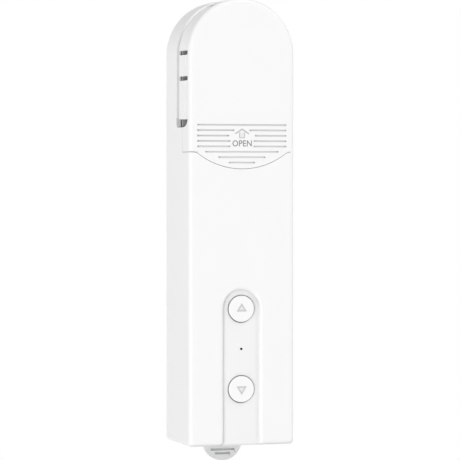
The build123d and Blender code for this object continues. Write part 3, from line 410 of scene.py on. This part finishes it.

# %% [markdown]
# The big housing's painted shade changes from place to place. Its deep groove and the left bank of
# the valley keep the painted corner shade, but the run of the cover's toes has none, the bank that
# faces the lamp has little, and the painted shade fades towards the top of the head. Where the chain
# leaves the head, its wall gets a painted shadow. The floor of the valley gets a trace of painted
# shade against the front, most of all under its arch, and so do the lower edge of the foot and the
# lower corner of the side window. Along the sides of the cover's tongue the painted corner shade is
# weaker than elsewhere, and its left end gets a painted shade. A small group answers whether a point
# lies in a box with soft borders, and such boxes change the inputs of the plastic group from place
# to place.


# %% Boxes that change the painted shade from place to place
def inside_box_group():
    """1 inside a box, fading to 0 over the softness, which has its own length along each axis."""
    tree, given, put = shader_group(
        "inside_box",
        [("Centre", "NodeSocketVector", (0, 0, 0)),
         ("Half size", "NodeSocketVector", (0.01, 0.01, 0.01)),
         ("Softness", "NodeSocketVector", (0.001, 0.001, 0.001))],
        [("Inside", "NodeSocketFloat")])
    place = tree.nodes.new("ShaderNodeTexCoord").outputs["Object"]
    for operation, other in (("SUBTRACT", "Centre"), ("ABSOLUTE", None), ("SUBTRACT", "Half size"),
                             ("DIVIDE", "Softness")):
        move = tree.nodes.new("ShaderNodeVectorMath")
        move.operation = operation
        tree.links.new(place, move.inputs[0])
        if other:
            tree.links.new(given.outputs[other], move.inputs[1])
        place = move.outputs[0]
    split = tree.nodes.new("ShaderNodeSeparateXYZ")
    tree.links.new(place, split.inputs[0])
    outside = split.outputs["X"]
    for axis in "YZ":
        larger = tree.nodes.new("ShaderNodeMath")
        larger.operation = "MAXIMUM"
        tree.links.new(outside, larger.inputs[0])
        tree.links.new(split.outputs[axis], larger.inputs[1])
        outside = larger.outputs[0]
    fade = tree.nodes.new("ShaderNodeMapRange")
    fade.inputs["To Min"].default_value, fade.inputs["To Max"].default_value = 1.0, 0.0
    tree.links.new(outside, fade.inputs["Value"])
    tree.links.new(fade.outputs["Result"], put.inputs["Inside"])
    return tree


INSIDE_BOX = inside_box_group()


def vary(made, socket, start, boxes):
    """An input of the plastic group: a start value, times a factor inside each box."""
    tree = made.node_tree
    surface = next(node for node in tree.nodes
                   if node.type == "GROUP" and node.node_tree == MOULDED)
    value = start
    for centre, half, softness, factor in boxes:
        box = tree.nodes.new("ShaderNodeGroup")
        box.node_tree = INSIDE_BOX
        box.inputs["Centre"].default_value = [v * MM for v in centre]
        box.inputs["Half size"].default_value = [v * MM for v in half]
        box.inputs["Softness"].default_value = [v * MM for v in softness]
        value = scaled(tree, scaled(tree, box.outputs["Inside"], factor - 1.0, 1.0), value)
    tree.links.new(value, surface.inputs[socket])
    print(made.name, socket, "changes in", len(boxes), "boxes")


# Each box has a centre, a half size and a softness in millimetres, and then its factor
# The next six boxes scale the painted corner shade: the lit right bank, the toe run and the top of
# the head keep little or none of it, and the arch bank, the tongue's sides and the long groove keep
# part of it
right_bank = ((10.4, -37.2, -28.0), (1.4, 1.6, 34.0), (1.0, 0.5, 8.0), 0.1)
toe_run = ((0.0, -28.4, 115.0), (30.0, 1.2, 24.0), (1.0, 0.4, 4.0), 0.0)
head_round = ((0.0, -19.0, 156.0), (30.0, 25.0, 10.0), (1.0, 1.0, 10.0), 0.15)
arch_bank = ((0.0, -37.0, 17.5), (9.0, 1.0, 3.0), (1.5, 0.5, 3.0), 0.25)
tongue_sides = ((0.0, -37.6, 80.6), (24.0, 1.0, 2.6), (1.5, 0.5, 2.5), 0.3)
long_groove = ((0.0, -19.1, 110.0), (30.0, 1.4, 26.0), (1.0, 0.3, 8.0), 0.75)
# The boxes from here on darken the colour itself: painted shade, with a painted shadow on the wall
# and edge of the chain opening
window_corner_shade = ((0.0, -18.5, 96.2), (30.0, 1.5, 1.6), (1.0, 0.3, 0.5), 0.79)
seam_end_shade = ((-24.4, -38.0, 82.05), (2.6, 1.6, 0.2), (0.4, 0.5, 0.15), 0.80)
chain_wall_shadow = ((0.0, -21.0, 153.0), (10.7, 0.25, 2.5), (0.05, 0.05, 0.5), 0.92)
chain_edge_shadow = ((-11.0, -22.0, 151.2), (1.5, 1.6, 0.55), (0.6, 0.6, 0.35), 0.74)
valley_floor_shade = ((1.5, -35.6, -20.0), (8.5, 1.1, 38.0), (5.0, 0.25, 3.0), 0.965)
under_arch_shade = ((0.0, -35.6, 14.5), (9.0, 1.1, 3.0), (1.0, 0.25, 8.0), 0.93)
foot_edge_shade = ((0.0, -37.0, -56.2), (30.0, 1.3, 0.7), (1.0, 0.3, 0.5), 0.87)
vary(housing_white, "Corner shade", SHELL_CORNER_SHADE,
     [right_bank, toe_run, head_round, arch_bank, tongue_sides, long_groove])
vary(housing_white, "Level", 1.0,
     [chain_wall_shadow, chain_edge_shadow, valley_floor_shade, under_arch_shade, foot_edge_shade, window_corner_shade, seam_end_shade])
vary(cover_white, "Corner shade", SHELL_CORNER_SHADE, [tongue_sides])
vary(cover_white, "Level", 1.0, [seam_end_shade])

# %% [markdown]
# Metals share another effect: the fine lines that turning or drawing leaves. A noise texture that
# is stretched along one axis gives them, as a mask that changes roughness and height. The stretch
# is an input, so that turned shafts, pressed cans and plated screws use the same group with other
# values.


# %% Tool lines as a group, and the metals
LINE_DETAIL = 2.0
LINE_HEIGHT, LINE_STRENGTH = 0.1 * MM, 0.05
METAL_GLOSS_RANGE = 0.12


def tool_line_group():
    """Shader group: fine lines along one axis, as a roughness and a height."""
    tree, given, put = shader_group(
        "tool_lines",
        [("Lines per metre", "NodeSocketFloat", 6000.0),
         ("Stretch", "NodeSocketVector", (1.0, 1.0, 0.04)),
         ("Gloss", "NodeSocketFloat", 0.3), ("Gloss range", "NodeSocketFloat", 0.12)],
        [("Roughness", "NodeSocketFloat"), ("Height", "NodeSocketFloat")])
    where = tree.nodes.new("ShaderNodeTexCoord").outputs["Object"]
    pulled = tree.nodes.new("ShaderNodeVectorMath")
    pulled.operation = "MULTIPLY"
    tree.links.new(where, pulled.inputs[0])
    tree.links.new(given.outputs["Stretch"], pulled.inputs[1])
    lines = noise(tree, pulled.outputs[0], given.outputs["Lines per metre"], LINE_DETAIL)
    rough = scaled(tree, lines, given.outputs["Gloss range"], given.outputs["Gloss"])
    tree.links.new(rough, put.inputs["Roughness"])
    tree.links.new(lines, put.inputs["Height"])
    return tree


TOOL_LINES = tool_line_group()


def metal(name, colour, stretch, gloss=0.3, lines=6000.0):
    """Turned, drawn or plated metal, with its lines pulled long where the stretch is small."""
    made = bpy.data.materials.new(name)
    made.use_nodes = True
    tree = made.node_tree
    shader = tree.nodes["Principled BSDF"]
    marks = tree.nodes.new("ShaderNodeGroup")
    marks.node_tree = TOOL_LINES
    marks.inputs["Lines per metre"].default_value = lines
    marks.inputs["Stretch"].default_value = stretch
    marks.inputs["Gloss"].default_value = gloss - METAL_GLOSS_RANGE / 2
    marks.inputs["Gloss range"].default_value = METAL_GLOSS_RANGE
    bump = tree.nodes.new("ShaderNodeBump")
    bump.inputs["Strength"].default_value = LINE_STRENGTH
    bump.inputs["Distance"].default_value = LINE_HEIGHT
    shader.inputs["Base Color"].default_value = (*colour, 1)
    shader.inputs["Metallic"].default_value = 1.0
    tree.links.new(marks.outputs["Roughness"], shader.inputs["Roughness"])
    tree.links.new(marks.outputs["Height"], bump.inputs["Height"])
    tree.links.new(bump.outputs["Normal"], shader.inputs["Normal"])
    return made


ground_steel = metal("ground_steel", (0.62, 0.62, 0.63), stretch=(1.0, 0.04, 1.0))
zinc_screw = metal("zinc_screw", (0.56, 0.57, 0.58), gloss=0.34, stretch=(1.0, 1.0, 1.0),
                   lines=3000.0)
can_steel = metal("can_steel", (0.50, 0.50, 0.51), gloss=0.36, stretch=(1.0, 0.05, 1.0))
turned_brass = metal("turned_brass", (0.72, 0.52, 0.22), gloss=0.28, stretch=(1.0, 0.05, 1.0))
nickel_plate = metal("nickel_plate", (0.66, 0.64, 0.60), gloss=0.30, stretch=(0.05, 1.0, 1.0))
print("metals share", TOOL_LINES.name)

# %% [markdown]
# A few inner finishes are left. The board's solder mask shows copper tracks as slightly raised,
# lighter lines, which the joints of a Brick texture stand in for. The cells wear shrink film:
# coloured, glossy and a little wavy. The light guide is a nearly black clear plastic, and the
# lamp behind it a pale one.


# %% Board, cell film and light
MASK_DARK, MASK_LIGHT = (0.012, 0.085, 0.035, 1), (0.016, 0.105, 0.042, 1)
MASK_ROUGHNESS = 0.28
TRACK_GREEN = (0.045, 0.19, 0.08, 1)
TRACKS_PER_METRE, TRACK_WIDTH = 160.0, 0.03
TRACK_HEIGHT, TRACK_STRENGTH = 0.05 * MM, 0.2


def board_mask():
    """Green solder mask with faint tracks beneath it."""
    made = bpy.data.materials.new("solder_mask")
    made.use_nodes = True
    tree = made.node_tree
    shader = tree.nodes["Principled BSDF"]
    where = tree.nodes.new("ShaderNodeTexCoord")
    flat = tree.nodes.new("ShaderNodeMapping")
    flat.inputs["Rotation"].default_value = (math.radians(90), 0, 0)
    tracks = tree.nodes.new("ShaderNodeTexBrick")
    tracks.inputs["Scale"].default_value = TRACKS_PER_METRE
    tracks.inputs["Mortar Size"].default_value = TRACK_WIDTH
    tracks.inputs["Color1"].default_value = MASK_DARK
    tracks.inputs["Color2"].default_value = MASK_LIGHT
    tracks.inputs["Mortar"].default_value = TRACK_GREEN
    bump = tree.nodes.new("ShaderNodeBump")
    bump.inputs["Strength"].default_value = TRACK_STRENGTH
    bump.inputs["Distance"].default_value = TRACK_HEIGHT
    shader.inputs["Roughness"].default_value = MASK_ROUGHNESS
    tree.links.new(where.outputs["Object"], flat.inputs["Vector"])
    tree.links.new(flat.outputs["Vector"], tracks.inputs["Vector"])
    tree.links.new(tracks.outputs["Color"], shader.inputs["Base Color"])
    tree.links.new(tracks.outputs["Fac"], bump.inputs["Height"])
    tree.links.new(bump.outputs["Normal"], shader.inputs["Normal"])
    return made


solder_mask = board_mask()
cell_film = plastic("cell_film", (0.03, 0.12, 0.30), gloss=0.2, grain=220.0, depth=0.10,
                    clouds=0.08, edge=0.0002)
guide_tint = plastic("guide_tint", (0.012, 0.012, 0.014), gloss=0.12, depth=0.01, clouds=0.05,
                     edge=0)
lamp_resin = plastic("lamp_resin", (0.82, 0.80, 0.70), gloss=0.25, depth=0.02, edge=0)
inner_finishes = (solder_mask, cell_film, guide_tint, lamp_resin)
print("inner finishes:", [made.name for made in inner_finishes])

# %% [markdown]
# Each CAD node keeps its own shape and gets the finish of the real part. The table reads like a
# bill of materials: a finish, and the nodes that are made of it.

# %% Give every node its finish
finishes = [
    (housing_white, "main_housing"),
    (cover_white, "gear_cover"),
    (shell_white, "rear_cover"),
    (button_white, "up_button down_button"),
    (tab_grey, "release_tab"),
    (bracket_white, "wall_plate tab_retainer"),
    (inner_grey, "gearbox_plate chain_guide"),
    (inner_dark, "battery_frames"),
    (sprocket_grey, "bead_sprocket"),
    (gear_acetal, "output_gear second_gear first_gear"),
    (black_plastic, "motor_end_cap push_switches up_switch_plunger down_switch_plunger "
                    "motor_driver board_connectors"),
    (ground_steel, "output_shaft front_bearing second_gear_pin first_gear_pin motor_shaft "
                   "tab_spring"),
    (zinc_screw, "rear_cover_screws gearbox_screws guide_screws sprocket_screw "
                 "motor_screws board_screws"),
    (can_steel, "motor_can"),
    (turned_brass, "rear_bush motor_pinion"),
    (nickel_plate, "battery_strips charging_socket radio_module"),
    (solder_mask, "circuit_board"),
    (cell_film, "battery_cell_left battery_cell_right"),
    (guide_tint, "light_guide"),
    (lamp_resin, "status_lamp"),
]
dressed = []
for finish, names in finishes:
    for name in names.split():
        slots = nodes[name].data.materials
        slots.clear()
        slots.append(finish)
        dressed.append(name)
missing = sorted(set(nodes) - set(dressed))
print("dressed", len(dressed), "of", len(nodes), "nodes, missing:", missing)

# %% [markdown]
# The signs and the painted shade on the floors of the grip lines share a dull finish without
# rounded edges, in a few greys. Two pale ones fill the inside of the outlined signs, which is never
# quite clean in small print. A pattern on the cover could draw all of them, but thin pieces of their
# own stay sharp at any distance, and each can move with its button.

# %% Greys of the signs
word_grey = plastic("word_grey", (0.27, 0.27, 0.275), gloss=0.6, depth=0.10, clouds=0.08, edge=0)
sign_grey = plastic("sign_grey", (0.56, 0.56, 0.565), gloss=0.6, depth=0.10, clouds=0.08, edge=0)
# This grey is painted shade on the floors of the grip grooves
grip_shade_grey = plastic("grip_shade_grey", (0.80, 0.80, 0.805), gloss=0.6, depth=0.10, clouds=0.06, edge=0)
soft_grey = plastic("soft_grey", (0.58, 0.58, 0.585), gloss=0.6, depth=0.10, clouds=0.06, edge=0)
wash_grey = plastic("wash_grey", (0.82, 0.82, 0.825), gloss=0.6, depth=0.10, clouds=0.04, edge=0)
key_wash = plastic("key_wash", (0.79, 0.79, 0.795), gloss=0.6, depth=0.10, clouds=0.04, edge=0)
sign_greys = (word_grey, sign_grey, grip_shade_grey, soft_grey, wash_grey, key_wash)
print("greys of the signs:", [made.name for made in sign_greys])

# %% [markdown]
# The cover's finger grips are shallow grooves. Each groove gets a thin grey strip with round ends on
# its floor, a little rougher than the face; its grey is painted shade that deepens the groove's own
# shading. There are many lines of a few lengths, so Geometry Nodes make them: one point for each line
# carries its half length, a bar is placed on each point and a round end on either side of it. The
# tree ends in Realize Instances and Set Material, and its result is turned into a plain mesh.

# %% Where the grip lines are
cover_low, cover_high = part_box("gear_cover")
cover_face = cover_low[1]
head_top = cover_high[2]
# All in millimetres; a row says where its lines start and end, measured from the middle
grip_rows = ((0, 21.9), (3.8, 21.9), (6.4, 21.9), (5.8, 21.9), (5.8, 21.9),
             (0, 18.0), (0, 11.6), (0, 6.4))
grip_drop, grip_pitch, grip_width, grip_depth = 59.4, 2.52, 0.7, 0.45
grip_lines = []
for row, (gap, reach) in enumerate(grip_rows):
    height = head_top - (grip_drop + row * grip_pitch) * MM
    if gap:
        middle = (gap + reach) / 2
        grip_lines += [(side * middle * MM, height, (reach - gap) / 2 * MM) for side in (-1, 1)]
    else:
        grip_lines.append((0.0, height, reach * MM))
print(len(grip_lines), "grip lines on a face at y", round(cover_face * 1000, 2), "mm")


# %% The tree that draws bars with round ends
END_CORNERS = 20


def bar_tree():
    """Geometry Nodes: on each point a bar with round ends, as long as its half_length says."""
    tree = bpy.data.node_groups.new("bars_with_round_ends", "GeometryNodeTree")
    new_socket = tree.interface.new_socket
    new_socket(name="Geometry", in_out="INPUT", socket_type="NodeSocketGeometry")
    for label, value in (("Width", 0.7 * MM), ("Thickness", 0.1 * MM)):
        new_socket(name=label, in_out="INPUT", socket_type="NodeSocketFloat").default_value = value
    new_socket(name="Material", in_out="INPUT", socket_type="NodeSocketMaterial")
    new_socket(name="Geometry", in_out="OUTPUT", socket_type="NodeSocketGeometry")
    n, link = tree.nodes, tree.links.new
    given, put = n.new("NodeGroupInput"), n.new("NodeGroupOutput")
    half = n.new("GeometryNodeInputNamedAttribute")
    half.data_type = "FLOAT"
    half.inputs["Name"].default_value = "half_length"
    round_off = n.new("ShaderNodeMath")
    round_off.operation = "MULTIPLY_ADD"
    link(given.outputs["Width"], round_off.inputs[0])
    round_off.inputs[1].default_value = -0.5
    link(half.outputs["Attribute"], round_off.inputs[2])
    joined = n.new("GeometryNodeJoinGeometry")

    bar = n.new("GeometryNodeMeshCube")
    on_bar = n.new("GeometryNodeInstanceOnPoints")
    size, twice = n.new("ShaderNodeCombineXYZ"), n.new("ShaderNodeMath")
    twice.operation = "MULTIPLY"
    twice.inputs[1].default_value = 2.0
    link(round_off.outputs[0], twice.inputs[0])
    link(twice.outputs[0], size.inputs["X"])
    link(given.outputs["Thickness"], size.inputs["Y"])
    link(given.outputs["Width"], size.inputs["Z"])
    link(given.outputs["Geometry"], on_bar.inputs["Points"])
    link(bar.outputs["Mesh"], on_bar.inputs["Instance"])
    link(size.outputs[0], on_bar.inputs["Scale"])
    link(on_bar.outputs["Instances"], joined.inputs["Geometry"])

    radius = n.new("ShaderNodeMath")
    radius.operation = "MULTIPLY"
    radius.inputs[1].default_value = 0.5
    link(given.outputs["Width"], radius.inputs[0])
    cap = n.new("GeometryNodeMeshCylinder")
    cap.inputs["Vertices"].default_value = END_CORNERS
    link(radius.outputs[0], cap.inputs["Radius"])
    link(given.outputs["Thickness"], cap.inputs["Depth"])
    for side in (-1, 1):
        shift, offset = n.new("ShaderNodeMath"), n.new("ShaderNodeCombineXYZ")
        move, on_end = n.new("GeometryNodeSetPosition"), n.new("GeometryNodeInstanceOnPoints")
        shift.operation = "MULTIPLY"
        shift.inputs[1].default_value = side
        link(round_off.outputs[0], shift.inputs[0])
        link(shift.outputs[0], offset.inputs["X"])
        link(given.outputs["Geometry"], move.inputs["Geometry"])
        link(offset.outputs[0], move.inputs["Offset"])
        link(move.outputs["Geometry"], on_end.inputs["Points"])
        link(cap.outputs["Mesh"], on_end.inputs["Instance"])
        on_end.inputs["Rotation"].default_value = (math.radians(90), 0, 0)
        link(on_end.outputs["Instances"], joined.inputs["Geometry"])

    real, paint = n.new("GeometryNodeRealizeInstances"), n.new("GeometryNodeSetMaterial")
    link(joined.outputs["Geometry"], real.inputs["Geometry"])
    link(real.outputs["Geometry"], paint.inputs["Geometry"])
    link(given.outputs["Material"], paint.inputs["Material"])
    link(paint.outputs["Geometry"], put.inputs["Geometry"])
    return tree


BARS = bar_tree()


def bars(name, lines, y, width, thickness, material, body):
    """Bars with round ends, as (x, z, half length) in metres, whose front lies at y."""
    start = bpy.data.meshes.new(name + "_points")
    start.from_pydata([(x, y + thickness / 2, z) for x, z, _ in lines], [], [])
    lengths = start.attributes.new("half_length", "FLOAT", "POINT")
    for index, (_, _, half) in enumerate(lines):
        lengths.data[index].value = half
    obj = bpy.data.objects.new(name, start)
    bpy.context.collection.objects.link(obj)
    maker = obj.modifiers.new("bars", "NODES")
    maker.node_group = BARS
    ids = {item.name: item.identifier
           for item in BARS.interface.items_tree if item.in_out == "INPUT"}
    maker[ids["Width"]] = width
    maker[ids["Thickness"]] = thickness
    maker[ids["Material"]] = material
    depsgraph = bpy.context.evaluated_depsgraph_get()
    done = bpy.data.meshes.new_from_object(obj.evaluated_get(depsgraph))
    obj.modifiers.clear()
    obj.data = done
    done.name = name
    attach(obj, body)
    print(name, len(lines), "bars,", len(done.polygons), "faces")
    return obj


# In millimetres: how far the front of a grey strip of painted shade lies above the floor of its
# groove, how much narrower than the groove the strip is, and how thick
shade_strip_rise, shade_strip_play, shade_strip_thickness = 0.08, 0.02, 0.1
bars("grip_shade_strips", grip_lines, cover_face + (grip_depth - shade_strip_rise) * MM,
     (grip_width - shade_strip_play) * MM, shade_strip_thickness * MM, grip_shade_grey, "cover")

# %% [markdown]
# The arrow, the word that says the cover opens and the triangles on the buttons are thin grey
# signs. Each is a stroke along a few corner points, with mitred corners. A stroke is a strip of
# quads: every corner gets a point on either side of the line, at the place where the two offset
# lines meet.


# %% A flat stroke with mitred corners
def stroke_sides(points, width, closed):
    """The left and right borders of a line of the given width, mitred at its corners."""
    left, right, count = [], [], len(points)
    for index, here in enumerate(points):
        before = points[index - 1] if closed or index else None
        after = points[(index + 1) % count] if closed or index < count - 1 else None
        ways = []
        for a, b in ((before, here), (here, after)):
            if a is not None and b is not None:
                run = math.hypot(b[0] - a[0], b[1] - a[1])
                ways.append((-(b[1] - a[1]) / run, (b[0] - a[0]) / run))
        nx, nz = sum(w[0] for w in ways) / len(ways), sum(w[1] for w in ways) / len(ways)
        reach = width / 2 / (nx * nx + nz * nz)
        left.append((here[0] + nx * reach, here[1] + nz * reach))
        right.append((here[0] - nx * reach, here[1] - nz * reach))
    return left, right


def flat_piece(name, verts, faces, material, body):
    """Links a thin piece, turns its faces outward and lets it ride on its body."""
    obj = link_mesh(name, verts, faces, material)
    shell = bmesh.new()
    shell.from_mesh(obj.data)
    bmesh.ops.recalc_face_normals(shell, faces=shell.faces)
    shell.to_mesh(obj.data)
    shell.free()
    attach(obj, body)
    print(name, len(obj.data.polygons), "faces")
    return obj


def flat_patch(name, outline, y, thickness, material, body):
    """A flat piece that fills an outline of (x, z) points in millimetres, with its front at y."""
    count = len(outline)
    verts = [(x * MM, depth, z * MM) for depth in (y, y + thickness) for x, z in outline]
    faces = [tuple(range(count)), tuple(range(2 * count - 1, count - 1, -1))]
    for a in range(count):
        b = (a + 1) % count
        faces.append((a, a + count, b + count, b))
    return flat_piece(name, verts, faces, material, body)


def stroke_sign(name, strokes, y, thickness, material, body):
    """A flat piece of strokes in millimetres, each (points, width, closed), with its front at y."""
    verts, faces = [], []
    for points, width, closed in strokes:
        points = [(x * MM, z * MM) for x, z in points]
        left, right = stroke_sides(points, width * MM, closed)
        start, count = len(verts), len(points)
        for depth in (y, y + thickness):
            verts += [(x, depth, z) for x, z in left] + [(x, depth, z) for x, z in right]
        spans = count if closed else count - 1
        for index in range(spans):
            a, b = start + index, start + (index + 1) % count
            c, d = b + count, a + count
            back = 2 * count
            faces += [(a, b, c, d), (a + back, d + back, c + back, b + back),
                      (a, a + back, b + back, b), (d, c, c + back, d + back)]
        if not closed:
            for index in (start, start + count - 1):
                faces.append((index, index + count, index + 3 * count, index + 2 * count))
    return flat_piece(name, verts, faces, material, body)


# %% Arrow and button triangles
PROUD = 0.03 * MM  # a sign stands out of its face by this, and its pale inside by half of it
SIGN_THICKNESS = 0.10 * MM
foot_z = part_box("main_housing")[0][2] * 1000
arrow_half, arrow_low, arrow_tip, arrow_stroke = 3.35, foot_z + 146.45, foot_z + 148.55, 0.72
stem_half, stem_low, stem_top, stem_stroke = 1.22, foot_z + 144.6, foot_z + 147.1, 0.5
chevron = [(-arrow_half, arrow_low), (0, arrow_tip), (arrow_half, arrow_low)]
stem = [(-stem_half, stem_top), (-stem_half, stem_low),
        (stem_half, stem_low), (stem_half, stem_top)]
stroke_sign("arrow_head", [(chevron, arrow_stroke, False)], cover_face - PROUD, SIGN_THICKNESS,
            sign_grey, "cover")
stroke_sign("arrow_stem", [(stem, stem_stroke, False)], cover_face - PROUD, SIGN_THICKNESS,
            soft_grey, "cover")
flat_patch("arrow_wash", stem, cover_face - PROUD / 2, SIGN_THICKNESS, wash_grey, "cover")

# A triangle sits a little off the middle of its button, and its tip and its base are measured from
# there. A row has the sign, the button, the body, the way the triangle points and the base.
key_shift, key_half, key_tip, key_stroke = 0.4, 1.95, 1.7, 0.62
keys = (("up_sign", "up_button", "up_key", 1, 1.33),
        ("down_sign", "down_button", "down_key", -1, 1.45))
for key_name, node, body, way, key_base in keys:
    low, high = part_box(node)
    middle = (low[2] + high[2]) / 2 * 1000 + key_shift * way
    base = middle - key_base * way
    triangle = [(-key_half, base), (key_half, base), (0, middle + key_tip * way)]
    stroke_sign(key_name, [(triangle, key_stroke, True)], low[1] - PROUD, SIGN_THICKNESS,
                soft_grey, body)
    flat_patch(key_name + "_wash", triangle, low[1] - PROUD / 2, SIGN_THICKNESS, key_wash, body)

# %% [markdown]
# Three small things finish the front: a ring round the status light, which hides the edge of its
# hole, grey strokes of painted shade where the tab's grooves turn down at their right ends, and a rib
# on the tab just under the foot.

# %% Ring round the light, painted shade at the groove ends, and top rib of the tab
ring_black = plastic("ring_black", (0.02, 0.02, 0.021), gloss=0.6, depth=0.05, edge=0)
groove_shade = plastic("groove_shade", (0.50, 0.505, 0.50), gloss=0.6, depth=0.05, edge=0)
guide_low, guide_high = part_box("light_guide")
guide_x, guide_z = [(guide_low[axis] + guide_high[axis]) / 2 * 1000 for axis in (0, 2)]
ring_shift, ring_radius, ring_stroke, ring_corners = 0.16, 0.45, 0.24, 24
turns = [math.tau * corner / ring_corners for corner in range(ring_corners)]
circle = [(guide_x + ring_shift + ring_radius * math.cos(turn),
           guide_z + ring_radius * math.sin(turn)) for turn in turns]
stroke_sign("light_ring", [(circle, ring_stroke, True)], guide_low[1] - PROUD, SIGN_THICKNESS,
            ring_black, "drive_unit")

tab_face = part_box("release_tab")[0][1]
# Heights on the tab are measured from the underside of the housing
# The tab's grooves turn down at their right ends; the grey strokes there are painted shade
groove_stroke = 0.5
groove_ends = [[(5.7, -4.9), (6.15, -5.5), (6.35, -6.2)],
               [(3.4, -6.6), (3.55, -7.1), (3.55, -7.8)]]
end_lines = [[(x, foot_z + z) for x, z in line] for line in groove_ends]
stroke_sign("tab_groove_end_shade", [(line, groove_stroke, False) for line in end_lines],
            tab_face - PROUD, SIGN_THICKNESS, groove_shade, "release")
rib = [(x, foot_z + z) for x, z in ((-7.5, -3.5), (7.5, -3.5), (7.8, -2.2), (-7.8, -2.2))]
flat_patch("tab_top_rib", rib, tab_face - PROUD / 2, SIGN_THICKNESS, tab_grey, "release")

# %% [markdown]
# The tab has a return spring inside its sleeve: a steel strip, bent in a zigzag. When the tab is
# pushed up, the spring has to give way, and a rigid CAD node can't. So the strip is drawn again
# here between the same two ends, as a mesh of its own, and takes the place of the CAD node.

# %% Return spring, drawn again
# In millimetres, until the piece is made
spring_low, spring_high = [[v * 1000 for v in corner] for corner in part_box("tab_spring")]
strip, legs = 0.5, 6
swing = (spring_high[0] - spring_low[0] - strip) / 2
bottom, top = spring_low[2] + strip / 2, spring_high[2] - strip / 2
zigzag = [(swing * (-1) ** leg, bottom + (top - bottom) * leg / legs) for leg in range(legs + 1)]
return_spring = stroke_sign("return_spring", [(zigzag, strip, False)], spring_low[1] * MM,
                            (spring_high[1] - spring_low[1]) * MM, ground_steel, "drive_unit")
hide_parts("tab_spring")
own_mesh(return_spring)

# %% [markdown]
# The word is set with Blender's own font, turned into a mesh and then fitted into its place on
# the cover: 9.5 mm wide and 2.9 mm tall. A text object becomes a mesh before its place is
# applied, so that the finished piece sits at the origin like every other one.


# %% The word on the cover
LETTER_WEIGHT, LETTER_SPACING, LETTER_STEPS = 0.012, 1.04, 6
LETTER_HALF_DEPTH = 0.5  # on either side of the font's plane, so a letter is one unit thick


def flat_word(name, text, low_x, high_x, low_z, high_z, y, thickness, material, body):
    """A word as a thin mesh that fills the given box on the front."""
    words = bpy.data.curves.new(name, "FONT")
    words.body = text
    words.extrude = LETTER_HALF_DEPTH
    words.offset = LETTER_WEIGHT
    words.space_character = LETTER_SPACING
    words.resolution_u = LETTER_STEPS
    source = bpy.data.objects.new(name, words)
    bpy.context.collection.objects.link(source)
    depsgraph = bpy.context.evaluated_depsgraph_get()
    mesh = bpy.data.meshes.new_from_object(source.evaluated_get(depsgraph))
    bpy.data.objects.remove(source)
    xs, ys = [v.co.x for v in mesh.vertices], [v.co.y for v in mesh.vertices]
    left, foot = min(xs), min(ys)
    sx, sz = (high_x - low_x) / (max(xs) - left), (high_z - low_z) / (max(ys) - foot)
    for v in mesh.vertices:
        x, up, out = v.co
        v.co = (low_x + (x - left) * sx, y + (LETTER_HALF_DEPTH - out) * thickness,
                low_z + (up - foot) * sz)
    mesh.materials.clear()
    mesh.materials.append(material)
    mesh.name = name
    obj = bpy.data.objects.new(name, mesh)
    bpy.context.collection.objects.link(obj)
    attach(obj, body)
    print(name, len(mesh.polygons), "faces, scale", round(sx, 5), round(sz, 5))
    return obj


word_half, word_low, word_top = 4.75, foot_z + 140.5, foot_z + 143.4
flat_word("open_word", "OPEN", -word_half * MM, word_half * MM, word_low * MM, word_top * MM,
          cover_face - PROUD, SIGN_THICKNESS, word_grey, "cover")
